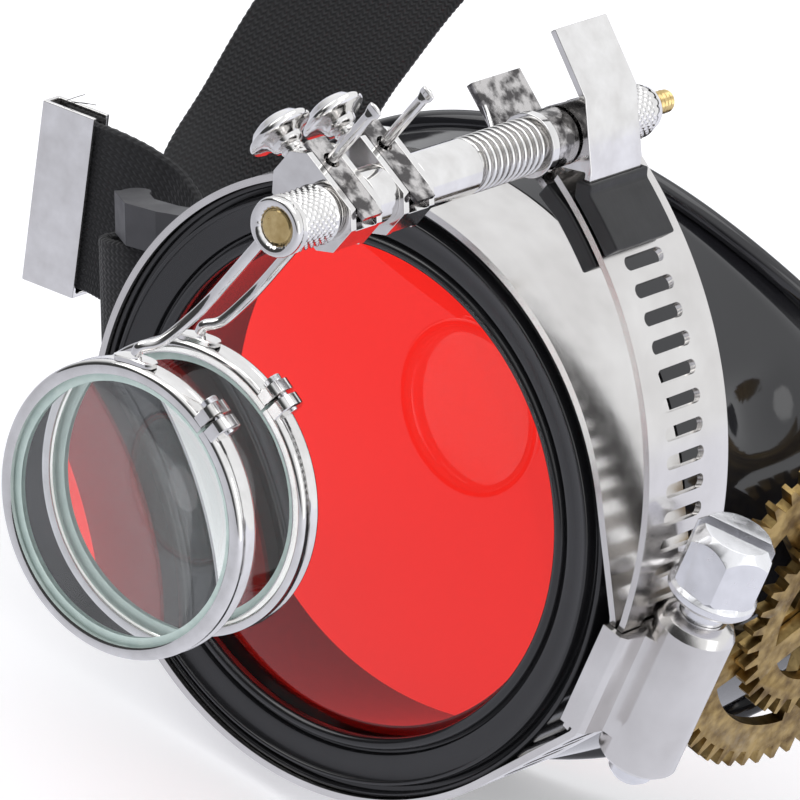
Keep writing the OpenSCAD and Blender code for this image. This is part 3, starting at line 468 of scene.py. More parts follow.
# %% Bezel, lens and gasket
BEZEL_R = 30.8
bezel_profile = (
    [[24.9, 1.7], [24.9, 1.25]] + arc((25.5, 1.0), 0.6, 195, 345, 9)
    + [[26.15, 1.2], [26.35, 1.15], [26.55, 0.72], [26.9, 0.62], [27.6, 0.58], [28.4, 0.46], [28.95, 0.25]]
    + arc((29.2, 0.15), 0.25, 200, 330, 6) + [[29.5, 0.4], [29.62, 1.2], [29.8, 1.35], [30.2, 1.25]]
    + arc((30.48, 0.85), 0.32, 200, 360, 7)
    + [[BEZEL_R, 13.3], [BEZEL_R - 0.1, 13.4], [28.4, 13.4], [28.4, 4.9], [26.0, 4.9], [26.0, 1.7]])
bezel = turned("bezel_turned", bezel_profile, sides=256)
make_piece(bezel, "goggle", "bezel_plastic", "bezel_ring")
lens_profile = [[0, 1.72], [25.5, 1.72], [25.88, 1.95], [25.9, 2.1], [25.9, 3.9], [25.7, 4.08], [0, 4.1]]
make_piece(turned("red_disc", lens_profile, sides=192), "goggle", "red_glass", "red_lens")
dressed("lens_gasket", 0.08)
print("bezel faces", len(bezel.polygons))

# %% [markdown]
# ## Clamp band
# A hose clamp is one long strip with punched slots. It starts under the housing, goes once round the bezel,
# runs over its own start and ends as a free tail. In the XZ plane it is a single line in polar form, so the
# strip is that line given a thickness and a width. The slots are cut out with a boolean, so they are real.

# %% Clamp band
BAND_IN, BAND_T, BAND_W = 30.82, 0.7, 12.7
HOUSING_ANGLE, TAIL_ANGLE, TAIL_RISE = -8.0, 72.0, 9.1
PAD_IN, PAD_HALF = (32.1, 33.1), (7.6, 5.0)
TAIL_START = HOUSING_ANGLE + 14
SLOT_PITCH, SLOT_R, SLOT_HALF, SLOT_Y = 2.7, 0.7, 2.3, 5.75


def belt(p, flat_at, half):
    """Inner radius of a taut belt, p degrees from the housing: flat at first, then a straight run that
    meets the bezel as a tangent, then the bezel itself."""
    corner = math.degrees(math.atan2(half, flat_at))
    lean = corner + math.degrees(math.acos(BAND_IN / math.hypot(flat_at, half)))
    p = np.abs(p)
    straight = BAND_IN / np.cos(np.radians(np.clip(lean - p, 0, 80)))
    return np.where(p < corner, flat_at / np.cos(np.radians(p)), np.where(p < lean, straight, BAND_IN))


def outer_layer(a):
    """Inner radius of the upper layer: the belt up to the tail, then a rise with the power 1.2."""
    a = np.asarray(a, float)
    tail_r = PAD_IN[1] / math.cos(math.radians(TAIL_START - HOUSING_ANGLE))
    rise = TAIL_RISE * np.clip((a - TAIL_START) / (TAIL_ANGLE - TAIL_START), 0, 2)**1.2
    half = np.where(a < HOUSING_ANGLE, PAD_HALF[1], 20.0)
    flat = np.where(half == 20.0, PAD_IN[1] / np.cos(np.radians(a - HOUSING_ANGLE)),
                    belt(a - HOUSING_ANGLE, PAD_IN[1], PAD_HALF[1]))
    return np.where(a > TAIL_START, tail_r + rise, flat)


def band_line():
    """Radius and angle along the strip: inner layer, once round, upper layer and tail."""
    start = np.arange(HOUSING_ANGLE - 9, HOUSING_ANGLE + 42, 1.0)
    ring = np.arange(HOUSING_ANGLE + 42, 360 + HOUSING_ANGLE - 40, 1.5)
    tail = np.arange(HOUSING_ANGLE - 40, TAIL_ANGLE + 0.1, 0.8)
    r = np.concatenate([belt(start - HOUSING_ANGLE, PAD_IN[0], PAD_HALF[0]), np.full(len(ring), BAND_IN),
                        outer_layer(tail)])
    return r, np.concatenate([start, ring, tail])


def slot_cutters():
    """One rounded slot every pitch of strip, from the tail back through the housing."""
    angles, a = [], TAIL_ANGLE - 13.5
    while a > HOUSING_ANGLE - 50:
        angles.append(a)
        a -= math.degrees(SLOT_PITCH / float(outer_layer(a)))
    t = np.radians(np.linspace(0, 360, 24, endpoint=False))
    y = SLOT_Y + SLOT_R * np.sin(t) + np.where(np.sin(t) >= 0, SLOT_HALF, -SLOT_HALF)
    across = SLOT_R * np.cos(t)
    bm = bmesh.new()
    for a in angles:
        c, s = math.cos(math.radians(a)), math.sin(math.radians(a))
        r0 = float(outer_layer(a))
        rings = [[bm.verts.new(((r * c - x * s) * MM, yy * MM, (r * s + x * c) * MM))
                  for x, yy in zip(across, y)] for r in (r0 - 0.12, r0 + BAND_T + 0.6)]
        bm.faces.new(rings[0])
        bm.faces.new(rings[1][::-1])
        for i in range(len(t)):
            j = (i + 1) % len(t)
            bm.faces.new((rings[0][i], rings[1][i], rings[1][j], rings[0][j]))
    bmesh.ops.recalc_face_normals(bm, faces=bm.faces)
    mesh = bpy.data.meshes.new("slots")
    bm.to_mesh(mesh)
    bm.free()
    print("slots", len(angles))
    return bpy.data.objects.new("slots", mesh)


def band_mesh():
    """The strip: four corners carried along the line, cut by the slots."""
    r, a = band_line()
    corners = [(0, 0), (0, BAND_W), (BAND_T, BAND_W), (BAND_T, 0)]
    ring = np.stack([np.insert(polar(r + dr, a), 1, y, axis=-1) for dr, y in corners], 1)
    strip = bpy.data.objects.new("strip", grid_mesh("strip", ring, capped=True))
    cutter = slot_cutters()
    for obj in (strip, cutter):
        bpy.context.scene.collection.objects.link(obj)
    mod = strip.modifiers.new("slots", "BOOLEAN")
    mod.operation, mod.solver, mod.object = "DIFFERENCE", "EXACT", cutter
    graph = bpy.context.evaluated_depsgraph_get()
    mesh = bpy.data.meshes.new_from_object(strip.evaluated_get(graph))
    bpy.data.objects.remove(strip)
    bpy.data.objects.remove(cutter)
    mesh.name = "clamp_strip"
    return mesh


band = make_piece(band_mesh(), "goggle", "stainless", "clamp_band")
bevel(band, 0.07, 1, 50)
print("band faces", len(band.data.polygons))

# %% [markdown]
# ## Clamp housing and worm screw
# Both have soft shoulders. Their CAD shapes are right, so a copy with merged faces and a wide bevel is
# enough: the bevel is the roll of the sheet metal.

# %% Clamp housing and worm screw
dressed("clamp_housing", 0.35, 3, angle=28)
dressed("clamp_screw", 0.16, 3, angle=20)

# %% [markdown]
# ## Gears on the temple
# Cast and tumbled brass, browned with age. The bevel is small and the finish does the work: two browns in
# clouds, pits and a gloss that wanders. Post and washer are darker.

# %% Gears on the temple
for node, width in {"large_gear": 0.14, "small_gear": 0.14, "gear_post": 0.12, "gear_washer": 0.12}.items():
    dressed(node, width)

# %% [markdown]
# ## Spring clip
# The clip that carries the loupes is folded sheet: a bright jaw, a darker sprung lever and rubber boots.

# %% Spring clip
dressed("clip_jaw", 0.16)
dressed("clip_lever", 0.16)
dressed("jaw_boot", 0.7, 4, angle=40)
dressed("lever_boot", 0.6, 4, angle=40)
for node in ("spring_washer", "pressure_sleeve", "bracket_spacer", "pivot_tube", "strap_end_clip"):
    dressed(node, 0.12)
for node in ("nose_lug", "temple_lug"):
    dressed(node, 0.5, 3)
for k in ("front", "rear"):
    dressed(f"{k}_bracket", 0.22, 3)
    dressed(f"{k}_clamp_block", 0.15)

# %% [markdown]
# ## Loupe shaft
# The loupes hang on a threaded brass rod inside a nickel tube. A thread and a knurl are the same idea: a
# turned shape whose radius also depends on the angle. A wave of height and angle together winds up as a
# thread, and two waves that wind opposite ways cut the diamonds of a knurl.

# %% Loupe shaft
SHAFT = np.array([11.9958, 0.0, 45.0093])


def zigzag(x):
    """A wave between 0 and 1 with straight flanks, one per unit."""
    return np.abs(2 * (x - np.floor(x)) - 1)


def thread(pitch, depth, start, end):
    """Relief of a helical thread between two heights: the wave of h / pitch + t / 2 pi, cut downwards."""
    def relief(t, h):
        inside = (h > start) & (h < end)
        return np.where(inside, -depth * zigzag(h / pitch + t / (2 * np.pi)), 0.0)
    return relief


def knurl(count, pitch, depth, start, end):
    """Relief of a diamond knurl: the higher of two waves that wind in opposite ways, cut downwards."""
    def relief(t, h):
        inside = (h > start) & (h < end)
        a, b = zigzag(count * t / (2 * np.pi) + h / pitch), zigzag(count * t / (2 * np.pi) - h / pitch)
        return np.where(inside, -depth * np.maximum(a, b), 0.0)
    return relief


def run(radius, start, end, step):
    """Profile points of a plain length, close enough together to carry a relief."""
    return [[radius, h] for h in np.arange(start, end, step)]


rod_profile = ([[0, -42.1], [1.5, -42.1]] + run(1.7, -41.95, -40.62, 0.05) + [[1.45, -40.6], [1.45, 14.85]]
               + run(1.15, 14.9, 17.9, 0.06) + [[0.85, 18.15], [0, 18.2]])


def rod_threads(t, h):
    """Relief of both threads: a shallow one on the front end, a deeper one on the rear end."""
    return thread(0.36, 0.07, -41.9, -40.7)(t, h) + thread(0.5, 0.14, 14.92, 17.88)(t, h)


rod = turned("brass_rod", rod_profile, SHAFT, sides=64, relief=rod_threads)
make_piece(rod, "goggle", "bright_brass", "threaded_rod")
front_profile = ([[1.55, -39.9], [1.55, -40.5], [1.8, -40.55], [1.8, -42.2], [2.2, -42.38], [2.45, -42.5],
                  [2.7, -42.42], [2.85, -42.1], [2.8, -41.5], [2.66, -41.3], [2.8, -41.1]]
                 + run(2.85, -41.0, -36.4, 0.1) + [[2.84, -36.3], [2.7, -36.0], [2.4, -35.9], [1.55, -35.9]])
front_nut = turned("front_knurled_nut", front_profile, SHAFT, sides=168,
                   relief=knurl(21, 0.82, 0.17, -40.95, -36.45))
make_piece(front_nut, "front_nut_body", "nickel", "front_nut", sharp=WIDE)
rear_profile = ([[1.5, 9.5], [2.4, 9.5], [2.68, 9.62]] + run(2.75, 9.9, 12.65, 0.1)
                + [[2.68, 12.9], [2.2, 14.35], [2.05, 14.62], [1.85, 14.78], [1.5, 14.8]])
rear_nut = turned("rear_knurled_nut", rear_profile, SHAFT, sides=160,
                  relief=knurl(20, 0.82, 0.17, 9.95, 12.6))
make_piece(rear_nut, "rear_nut_body", "nickel", "rear_nut", sharp=WIDE)
print("nut faces", len(front_nut.polygons), len(rear_nut.polygons))

# %% [markdown]
# ## Torsion spring
# A coil is a circle that climbs as it turns, and a tube follows it. Its rear end leaves the coil in a
# straight leg with one kink, which presses on the lever.

# %% Torsion spring
SPRING_TURNS, SPRING_MEAN, SPRING_END, SPRING_WIRE = 10.5, 2.5, -4.5, 0.25
SPRING_PITCH = 9.7 / SPRING_TURNS
turns = np.linspace(0, SPRING_TURNS, 420)[:, None]
phase = np.radians(240 - (SPRING_TURNS - turns) * 360)
coil = np.hstack([SPRING_MEAN * np.cos(phase), SPRING_END - (SPRING_TURNS - turns) * SPRING_PITCH,
                  SPRING_MEAN * np.sin(phase)])
leg_way = np.array([math.cos(math.radians(150)), 0, math.sin(math.radians(150))])
leg = [coil[-1] + leg_way * along + np.array([0, back, 0])
       for along, back in ((0.6, 0.0), (1.6, -0.1), (2.5, -0.05), (3.1, 0.25), (4.5, 0.95), (5.9, 1.45))]
spring_path = np.vstack([coil[:-1], smooth_path(np.vstack([coil[-1], leg]), 6)])
spring = tube_mesh("coiled_spring", SHAFT + spring_path, SPRING_WIRE, 12)
make_piece(spring, "clip_lever_unit", "nickel", "torsion_spring", sharp=WIDE)
print("spring faces", len(spring.polygons))

# %% [markdown]
# ## Loupes
# Both magnifiers are one design at two places. They are written in the leaning frame of their bracket: x away
# from the thumb screw, y along the shaft, z up. A short function turns those points into the shared frame.

# %% Loupe numbers
ARM_LEAN = math.radians(24.5)
BRACKET_Y = {"front": -33.1, "rear": -25.2}
RIM_AHEAD = {"front": 4.45, "rear": 2.9}
ARM_X, ARM_R, FLAT_FROM = -3.4, 0.55, 9.35
RIM_SHIFT, RIM_DROP, RIM_R = 5.4, 37.6, 14.4
FOOT_ANGLE, STRIP_TURN, CLOSING_ANGLE = 128.0, 9.0, 86.0
FOOT_R = RIM_R + 0.5975


def lean(points, which):
    """Points of a bracket's frame in the shared frame: turned about Y, then moved to the shaft."""
    p = np.asarray(points, float)
    c, s = math.cos(ARM_LEAN), math.sin(ARM_LEAN)
    turned_points = np.stack([p[..., 0] * c + p[..., 2] * s, p[..., 1], -p[..., 0] * s + p[..., 2] * c], -1)
    return turned_points + SHAFT + [0, BRACKET_Y[which], 0]


def on_rim(points, which):
    """Points of a rim's own frame, whose centre is the centre of the loupe."""
    return lean(np.asarray(points, float) + [RIM_SHIFT, -RIM_AHEAD[which], -RIM_DROP], which)


def ring_part(r, y, a):
    """Points at radius r, depth y and angle a in degrees round a rim."""
    return np.stack(np.broadcast_arrays(r * np.cos(np.radians(a)), y, r * np.sin(np.radians(a))), -1)


# %% [markdown]
# ### Arms
# A bent wire. Its top end is hammered flat, and its foot meets a small strip that is soldered along the rim.

# %% Arms
def arm_mesh(which):
    """The wire's path, with a flattened top: the circle is pressed to 0.55 one way and 1.42 the other."""
    ahead = RIM_AHEAD[which]
    foot = np.array([RIM_SHIFT + FOOT_R * math.cos(math.radians(FOOT_ANGLE)), -ahead,
                     -RIM_DROP + FOOT_R * math.sin(math.radians(FOOT_ANGLE))])
    path = [[ARM_X, 0, z] for z in (10.6, 10.3, 9.9, 9.5, 8.6, 6.8, 5, 0, -6, -12, -15.8)]
    path += [[ARM_X + 0.05, -ahead * 0.06, -18.0], [ARM_X + 0.14, -ahead * 0.25, -20.2],
             [ARM_X + 0.1, -ahead * 0.68, -23.4], foot + [-0.22, 0.15, 1.0], foot + [-0.05, 0, 0.1]]
    path = smooth_path(path, 8)
    press = np.clip((path[:, 2] - FLAT_FROM) / 0.5, 0, 1)
    flat = np.stack([1 + 0.42 * press, 1 - 0.45 * press], 1)
    radius = ARM_R * np.clip((10.75 - path[:, 2]) / 0.35, 0.35, 1)
    return tube_mesh(f"{which}_wire_arm", lean(path, which), radius, 16, flat)


def solder_strip(which):
    """A strip 0.5 thick and 2 wide that follows the rim, with its corners rounded."""
    a = np.linspace(FOOT_ANGLE - STRIP_TURN, FOOT_ANGLE + STRIP_TURN, 15)[:, None]
    half = np.sqrt(np.clip(1 - np.abs((a - FOOT_ANGLE) / 9.3)**5, 0.15, 1))
    r = RIM_R + np.array([0.02, 0.02, 0.42, 0.52, 0.52, 0.42])[None]
    y = half * np.array([-1, 1, 1, 0.86, -0.86, -1])[None]
    return grid_mesh(f"{which}_solder_strip", on_rim(ring_part(r, y, a), which), capped=True)


for which in ("front", "rear"):
    make_piece(arm_mesh(which), f"{which}_loupe", "nickel", f"{which}_arm", sharp=WIDE)
    strip = make_piece(solder_strip(which), f"{which}_loupe", "nickel")
print("strip faces", len(strip.data.polygons))

# %% [markdown]
# ### Top plates
# Between the cheeks of each bracket lies a small dark plate. The arm passes through a hole in it.

# %% Top plates
PLATE_X, PLATE_HALF, PLATE_Z, PLATE_HOLE = (-6.0, 3.2), 1.42, (2.35, 2.8), 0.85


def top_plate(which):
    """A rectangle round a hole: at angle t the inner edge is a circle about the arm and the outer edge is
    where the ray from the arm leaves the rectangle."""
    t = np.radians(np.linspace(0, 360, 96, endpoint=False))
    c, s = np.cos(t), np.sin(t)
    end = np.where(c > 0, PLATE_X[1] - ARM_X, ARM_X - PLATE_X[0]) / np.maximum(np.abs(c), 1e-6)
    out = np.minimum(end, PLATE_HALF / np.maximum(np.abs(s), 1e-6))
    reach = np.stack([0 * out + PLATE_HOLE, 0 * out + PLATE_HOLE, out, out], 1)
    z = np.broadcast_to(np.array([PLATE_Z[0], PLATE_Z[1], PLATE_Z[1], PLATE_Z[0]]), reach.shape)
    points = np.stack([ARM_X + reach * c[:, None], reach * s[:, None], z], -1)
    return grid_mesh(f"{which}_top_plate", lean(points, which))


for which in ("front", "rear"):
    plate = make_piece(top_plate(which), NODE_BODY[f"{which}_bracket"], "dark_nickel")
print("plate faces", len(plate.data.polygons))

# %% [markdown]
# ### Rims and glasses
# The rim is a rolled channel that is split at the top. Two small barrels draw its ends together with a screw.
# The glass is a real lens with two curved faces, so it bends the picture behind it. Its ground edge is a
# little green and matt.

# %% Rims and glasses
GLASS_R, GLASS_EDGE, GLASS_CROWN, MATT_FROM = 13.65, 0.45, 1.7, 12.35
EDGE_GLASS = shade("ground_edge", (0.50, 0.62, 0.60), (0.62, 0.74, 0.71), (0.4, 0.6), cloud=800)
rim_profile = ([[13.12, -1.3], [13.3, -1.43], [13.85, -1.45]] + arc((13.75, -0.82), 0.65, -70, 0, 6)
               + [[14.3, -0.5], [14.3, 0.5]] + arc((13.75, 0.82), 0.65, 0, 70, 6)
               + [[13.85, 1.45], [13.3, 1.43], [13.12, 1.3], [13.12, 0.85], [13.7, 0.52], [13.7, -0.52],
                  [13.12, -0.85]])


def rim_mesh(which):
    """The channel's profile goes round from one side of the split to the other."""
    r, y = np.asarray(rim_profile).T[:, None, :]
    a = CLOSING_ANGLE + np.linspace(0.6, 359.4, 220)[:, None]
    return grid_mesh(f"{which}_rim_ring", on_rim(ring_part(r, y, a), which), capped=True)


def closing_lug(which, side):
    """Half a closing barrel: a rounded block across the rim, 1.35 thick, beside the split."""
    t = np.linspace(-90, 90, 13)
    out = np.concatenate([[0.0], 1.2 + 1.15 * np.cos(np.radians(t)), [0.0]])
    across = np.concatenate([[-1.45], 0.35 * np.sign(t) + 1.15 * np.sin(np.radians(t)), [1.45]])
    z = side * np.array([0.16, 0.24, 1.4, 1.5])[:, None]
    grow = np.array([0.92, 1, 1, 0.92])[:, None]
    x = RIM_R - 0.4 + out[None] * grow
    c, s = math.cos(math.radians(CLOSING_ANGLE)), math.sin(math.radians(CLOSING_ANGLE))
    points = np.stack([x * c - z * s, np.broadcast_to(across[None] * grow, x.shape), x * s + z * c], -1)
    name = f"{which}_closing_{'upper' if side > 0 else 'lower'}"
    return grid_mesh(name, on_rim(points, which), capped=True)


def glass_mesh(which):
    """Two spherical caps of one radius, joined by a cylinder edge."""
    rise = GLASS_CROWN - GLASS_EDGE
    dome = (GLASS_R**2 + rise**2) / (2 * rise)
    r = GLASS_R * np.sin(np.linspace(0, np.pi / 2, 36))
    cap = GLASS_CROWN - dome + np.sqrt(dome**2 - r**2)
    profile = [[a, b] for a, b in zip(r, cap)] + [[a, -b] for a, b in zip(r[::-1], cap[::-1])]
    return turned(f"{which}_magnifier", profile, on_rim([0, 0, 0], which), sides=128)


for which in ("front", "rear"):
    ring = make_piece(rim_mesh(which), f"{which}_loupe", "nickel", f"{which}_rim")
    for side in (1, -1):
        make_piece(closing_lug(which, side), f"{which}_loupe", "nickel")
    magnifier = make_piece(glass_mesh(which), f"{which}_loupe", "clear_glass", f"{which}_glass").data
    magnifier.materials.append(EDGE_GLASS)
    facing, middle = np.empty((2, len(magnifier.polygons) * 3))
    magnifier.polygons.foreach_get("normal", facing)
    magnifier.polygons.foreach_get("center", middle)
    out = np.linalg.norm((middle.reshape(-1, 3) / MM - on_rim([0, 0, 0], which))[:, [0, 2]], axis=1)
    matt = (np.abs(facing.reshape(-1, 3)[:, 1]) < 0.3) | (out > MATT_FROM)
    magnifier.polygons.foreach_set("material_index", matt.astype(int))
    dressed(f"{which}_rim_screw", 0.08)
print("rim faces", len(ring.data.polygons))

# %% Thumb screws
screw_profile = ([[0, 0], [0.85, 0]] + run(1.15, 0.3, 3.0, 0.06) + [[1.45, 3.15], [1.62, 3.4], [1.7, 3.7],
                 [2.0, 3.95], [2.6, 4.12], [2.95, 4.3]] + arc((2.88, 4.72), 0.4, -60, 70, 9)
                 + [[2.7, 5.3], [2.3, 5.75], [1.7, 6.02], [0.9, 6.17], [0, 6.2]])
for which in ("front", "rear"):
    tip = lean([-4.25, 0, 0], which)
    axis = lean([-1, 0, 0], which) - lean([0, 0, 0], which)
    screw = turned(f"{which}_thumb_knob", screw_profile, tip, axis, 72, thread(0.45, 0.1, 0.35, 2.95))
    make_piece(screw, f"{which}_thumb", "nickel", f"{which}_thumb_screw")
print("thumb screws at", np.round(tip, 1))

# %% [markdown]
# ## Head strap
# Knitted elastic, 18 mm wide and 1.3 mm thick. Its middle line and the direction of its width are given
# stations, joined by a smooth curve. A cross-section with rounded, corded edges is carried along it. The fine
# stitches are a bump on its own lengthwise and crosswise coordinates, so they follow every fold.

# %% Strap line
STRAP_W, STRAP_T, WRAP_R, NOSE_LOOSE = 18.0, 1.3, 1.95, 2.0
NOSE_LUG = np.array([-40.8, 19.5, -7.4])
NOSE_LEAN = math.radians(-19.3)
TEMPLE_LUG = np.array([42.5, 54.0, 0.0])


def at_lug(p):
    """Points of the nose lug's own frame, whose z runs along its bar."""
    p = np.asarray(p, float)
    c, s = math.cos(NOSE_LEAN), math.sin(NOSE_LEAN)
    return NOSE_LUG + np.stack([p[:, 0] * c + p[:, 2] * s, p[:, 1], -p[:, 0] * s + p[:, 2] * c], -1)


def round_bar(angles, loose=1.0):
    """Points round a lug bar at the radius of the strap's middle; a loose fold stands further out."""
    t = np.radians(angles)
    return np.stack([loose * WRAP_R * np.cos(t), WRAP_R * np.sin(t), 0 * t], -1)


free_end = [[-60.3, 26.4, -3.3], [-57.7, 26.4, -2.9], [-55.1, 26.5, -2.5], [-52.5, 26.6, -2.2],
            [-49.6, 26.9, -2.3], [-46.6, 27.1, -2.9], [-43.6, 26.7, -3.9], [-40.9, 25.4, -5.1]]
free_width = [[-0.15, 0, 0.99]] * 3 + [[-0.16, 0, 0.98], [-0.19, 0, 0.98], [-0.24, 0, 0.97],
                                       [-0.28, 0, 0.96], [-0.32, 0, 0.95]]
around_nose = np.vstack([at_lug([[2.9, 3.7, 0], [3.5, 2.6, 0], [2.8, 1.9, 0], [1.3, 1.95, 0]]),
                         at_lug(round_bar(np.arange(90, 271, 30), NOSE_LOOSE)),
                         at_lug([[1.4, -1.8, 0], [3.4, -1.2, 0], [5, 0.2, 0], [5.5, 2.6, 0], [5.3, 5, 0.3]])])
crown = [[-39.4, 29.5, -6.4], [-42, 33.7, -3.6], [-45.2, 38, 0.4], [-46.7, 43.1, 6.6], [-47.4, 50.4, 16.9],
         [-45, 60.3, 31.3], [-34.5, 77, 50], [-18, 94, 64], [4, 108, 68], [27, 112, 60], [44, 106, 44],
         [52, 94, 26], [52, 82, 12], [48.6, 72, 4], [45.8, 64, 0.6]]
crown_width = [[-0.42, -0.1, 0.9], [-0.6, -0.25, 0.74], [-0.85, -0.33, 0.38], [-0.95, -0.15, 0.12],
               [-0.95, -0.14, 0.12], [-0.88, -0.3, 0.3], [-0.65, -0.5, 0.6], [-0.35, -0.6, 0.72],
               [-0.1, -0.62, 0.78], [0, -0.55, 0.84], [0, -0.45, 0.9], [0, -0.3, 0.95],
               [0, -0.15, 0.99], [0, 0, 1], [0, 0, 1]]
around_temple = np.vstack([[TEMPLE_LUG + [WRAP_R, 4, 0]], TEMPLE_LUG + round_bar(np.arange(0, -181, -30)),
                           [[40.1, 60, 0], [40.4, 67, 0.4], [42, 74, 1.2]]])
nose_width = [[math.sin(NOSE_LEAN), 0, math.cos(NOSE_LEAN)]] * len(around_nose)
stations = np.vstack([free_end, around_nose, crown, around_temple])
widths = np.vstack([free_width, nose_width, crown_width, [[0, 0, 1]] * len(around_temple)])
fine = smooth_path(np.hstack([stations, widths]), 30)
steps = np.linalg.norm(np.diff(fine[:, :3], axis=0), axis=1)
reach = np.concatenate([[0], np.cumsum(steps)])
STRAP_LENGTH = reach[-1]
print("strap length mm", round(STRAP_LENGTH, 1))

# %% Strap
CORD_PITCH = 0.75


def strap_mesh(rows=1500):
    """Rows at even distance along the line. Each is a flat loop with round edges; the edge cord swells in
    waves along the length."""
    s = np.linspace(0, STRAP_LENGTH, rows)
    line = np.stack([np.interp(s, reach, fine[:, k]) for k in range(6)], -1)
    tangent = np.gradient(line[:, :3], axis=0)
    tangent /= np.linalg.norm(tangent, axis=1)[:, None]
    wide = line[:, 3:] - tangent * (line[:, 3:] * tangent).sum(1)[:, None]
    wide /= np.linalg.norm(wide, axis=1)[:, None]
    normal = np.cross(tangent, wide)
    flat = np.linspace(-0.94, 0.94, 14)
    turn = np.radians(np.linspace(-60, 60, 4))
    edge = 0.94 + 0.06 * np.cos(turn)
    across = np.concatenate([flat, edge, flat[::-1], -edge])
    thick = np.concatenate([0 * flat - 0.9, np.sin(turn) * 0.9, 0 * flat + 0.9, -np.sin(turn) * 0.9])
    cord = np.clip((np.abs(across) - 0.84) / 0.1, 0, 1)[None]
    wave = 0.5 + 0.5 * np.sin(2 * np.pi * s / CORD_PITCH)[:, None]
    w = across * (STRAP_W / 2) * (1 + 0.008 * cord * wave)
    n = thick * (STRAP_T / 2) * (1 + cord * (0.10 * wave - 0.04))
    points = line[:, None, :3] + wide[:, None] * w[..., None] + normal[:, None] * n[..., None]
    uv = np.stack(np.broadcast_arrays(s[:, None] * MM, (across * STRAP_W / 2)[None] * MM), -1)
    return grid_mesh("elastic_strap", points, capped=True, uv=uv)


strap = strap_mesh()
print("strap faces", len(strap.polygons))

# %% [markdown]
# ### Knitted look
# Seen close, the elastic is rows of small plaits: a ridge across the strap times a stitch along it. The
# stitch leans one way on each flank of the ridge, which gives the little V shapes.

# %% Strap material
def knit_group():
    """Height = ridge^0.6 * (0.55 + 0.45 * sin(2 pi (along / stitch + lean * flank))), where ridge is
    sin(pi * flank) and flank is the distance from the edge of the plait, in plaits."""
    g, given, result = new_group("knit", {"Plait": 0.0007, "Stitch": 0.0006, "Lean": 1.1}, "Height")
    split = g.add("SeparateXYZ", {0: given["Vector"]}).outputs
    flank = g.math("PINGPONG", g.math("DIVIDE", split["Y"], given["Plait"]), 0.5)
    ridge = g.math("POWER", g.math("SINE", g.math("MULTIPLY", flank, math.pi)), 0.6)
    leaning = g.math("ADD", g.math("DIVIDE", split["X"], given["Stitch"]),
                     g.math("MULTIPLY", flank, given["Lean"]))
    stitch = g.math("SINE", g.math("MULTIPLY", leaning, 2 * math.pi))
    level = g.math("ADD", g.math("MULTIPLY", stitch, 0.45), 0.55)
    g.link(g.math("MULTIPLY", ridge, level), result)
    return g.tree


def strap_material():
    """Near-black yarn with painted shade in the grooves of the knit and lint noise over it, with a soft sheen
    and the knit as its bump.
    """
    yarn = {"Roughness": 0.75, "Sheen Weight": 0.1, "Sheen Roughness": 0.5}
    mat, g, bsdf = new_material("strap_fabric", yarn)
    where = g.add("TexCoord", {}).outputs
    knit = g.add("Group", {}, node_tree=knit_group())
    g.link(where["UV"], knit.inputs["Vector"])
    lint = g.add("TexNoise", {"Vector": where["Object"], "Scale": 2600.0, "Detail": 6.0})
    height = knit.outputs["Height"]
    # painted shade: the yarn is darker where the knit is low, and the lint noise varies its tone at random
    groove_shade_and_lint = g.math("MULTIPLY", height, lint.outputs["Fac"], clamp=True)
    g.fill(bsdf, {"Base Color": g.mix(groove_shade_and_lint, (0.006, 0.006, 0.007), (0.024, 0.024, 0.029)),
                  "Normal": g.bump(height, 0.7, 0.12)})
    return mat


FINISH["strap_fabric"] = strap_material()
make_piece(strap, "goggle", "strap_fabric", "head_strap")

# %% Loose threads at the slide
THREADS = [[[-61.2, 26.2, 5.9], [-60.6, 26.1, 6.6], [-59.4, 26.3, 7.4], [-57.6, 26.8, 7.9]],
           [[-61.1, 26.2, 5.9], [-60.9, 26.0, 6.8], [-60.0, 26.0, 7.7], [-58.9, 26.2, 8.6]],
           [[-61.3, 26.3, 5.8], [-61.0, 26.3, 6.5], [-60.2, 26.6, 7.0], [-58.9, 27.1, 7.3]]]
for i, points in enumerate(THREADS):
    yarn = tube_mesh(f"loose_thread_{i + 1}", smooth_path(points, 8), 0.035, 6)
    make_piece(yarn, "goggle", "strap_fabric", sharp=WIDE, material=FINISH["rubber"])
print("threads", len(THREADS))

# %% [markdown]
# ## Studio
# White paper and big soft lights. Black gloss and nickel only look right if what they mirror is right, so the
# world is built by kind of ray: the camera and the light through glass see plain white; mirrors see a bright
# side above and behind and a dark side low in front, as in a real tent with an opening for the camera.

# %% World
world = bpy.data.worlds.new("studio")
bpy.context.scene.world = world
world.use_nodes = True
world.node_tree.nodes.clear()
g = Graph(world.node_tree)
rays = g.add("LightPath", {}).outputs
BRIGHT_SIDE = (0.33, 0.72, 0.61)
facing = g.along(g.add("TexCoord", {}).outputs["Generated"], BRIGHT_SIDE)
bright = g.remap(facing, (-0.35, 0.25), (0.05, 1.0), "SMOOTHSTEP")
mirror, plain, soft = (g.add("Background", {"Color": colour, "Strength": strength}).outputs[0]
                       for colour, strength in (((0.97, 0.98, 1.0, 1), bright), ((1, 1, 1, 1), 1.0),
                                                ((1, 1, 1, 1), 0.75)))
seen = g.math("MAXIMUM", rays["Is Camera Ray"], rays["Is Transmission Ray"])
by_sight = g.choose(seen, g.choose(rays["Is Glossy Ray"], soft, mirror), plain)
g.add("OutputWorld", {"Surface": by_sight})
print("world ready")

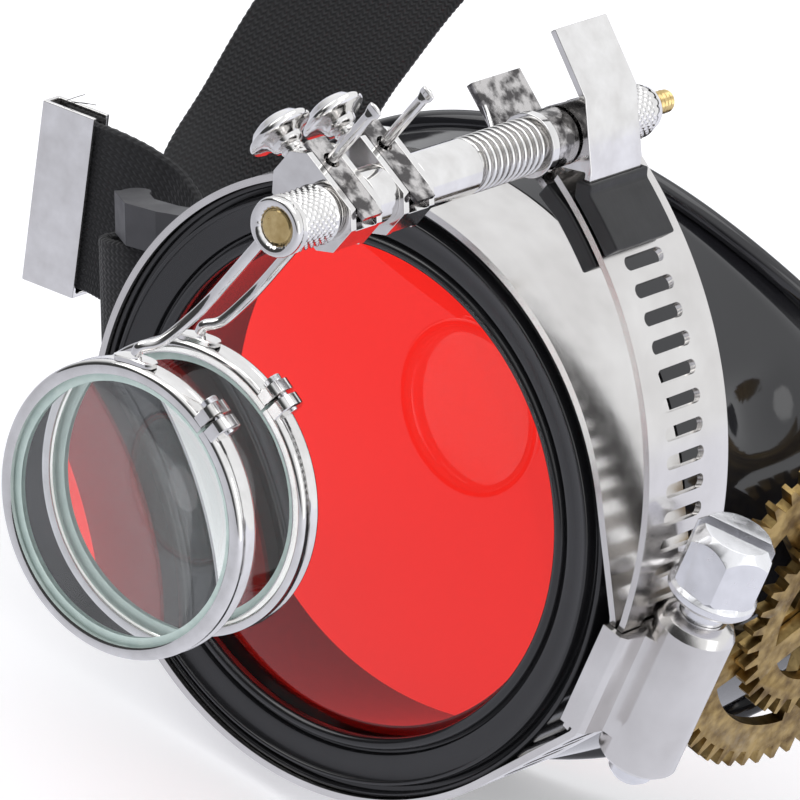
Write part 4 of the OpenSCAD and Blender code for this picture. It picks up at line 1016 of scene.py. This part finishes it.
# %% Floor
FLOOR_Z = CAD_BOX[0][2] - 0.0002
floor_mesh = bpy.data.meshes.new("floor")
FLOOR_HALF = 3
corners = [(x * FLOOR_HALF, y * FLOOR_HALF, FLOOR_Z) for x, y in ((-1, -1), (1, -1), (1, 1), (-1, 1))]
floor_mesh.from_pydata(corners, [], [(0, 1, 2, 3)])
floor = bpy.data.objects.new("floor", floor_mesh)
bpy.context.scene.collection.objects.link(floor)
paper, g, bsdf = new_material("paper", {"Base Color": (0.90, 0.90, 0.93, 1), "Roughness": 0.8,
                                        "Emission Color": (1, 1, 1, 1), "Emission Strength": 0.28})
# painted reflection: glossy rays see the floor as a glow from 0.60 to 1.0 strength, brighter towards one
# side, in place of the lit paper
PAINTED_GLOW_TOWARD = (0.55, 0.83, 0.0)
painted_glow_falloff = g.remap(g.along(g.add("TexCoord", {}).outputs["Object"], PAINTED_GLOW_TOWARD), (-0.25, 0.25), (0.60, 1.0),
               "SMOOTHSTEP")
painted_floor_reflection = g.add("Emission", {"Color": (0.90, 0.91, 1.0, 1), "Strength": painted_glow_falloff}).outputs[0]
rays = g.add("LightPath", {}).outputs
mirror_only = g.math("SUBTRACT", rays["Is Glossy Ray"], rays["Is Transmission Ray"], clamp=True)
g.link(g.choose(mirror_only, bsdf.outputs[0], painted_floor_reflection), g.nodes["Material Output"].inputs["Surface"])
floor_mesh.materials.append(paper)
print("floor at mm", round(FLOOR_Z / MM, 2))

# %% Lights
def soft_light(name, at, toward, size, power):
    """A large soft box at a place in mm, turned to face a point."""
    data = bpy.data.lights.new(name, "AREA")
    data.shape, data.size, data.size_y = "RECTANGLE", size[0] * MM, size[1] * MM
    data.energy = power
    obj = bpy.data.objects.new(name, data)
    bpy.context.scene.collection.objects.link(obj)
    way = np.asarray(toward, float) - at
    way /= np.linalg.norm(way)
    right = np.cross(way, [0, 0, 1.0])
    right /= np.linalg.norm(right)
    spot = np.eye(4)
    spot[:3, :3] = np.stack([right, np.cross(right, way), -way], 1)
    spot[:3, 3] = np.asarray(at) * MM
    obj.matrix_world = Matrix(spot.tolist())


soft_light("key", (-700, -420, 900), (0, 0, 10), (700, 700), 2.6)
soft_light("fill", (950, 60, 330), (0, 20, 0), (420, 700), 1.0)
soft_light("top", (60, 260, 1100), (0, 20, 0), (900, 700), 2.4)

# %% [markdown]
# ## Colour
# The Standard view transform keeps white paper white.

# %% Colour
bpy.context.scene.view_settings.view_transform = "Standard"

# %% End
print("scene built")
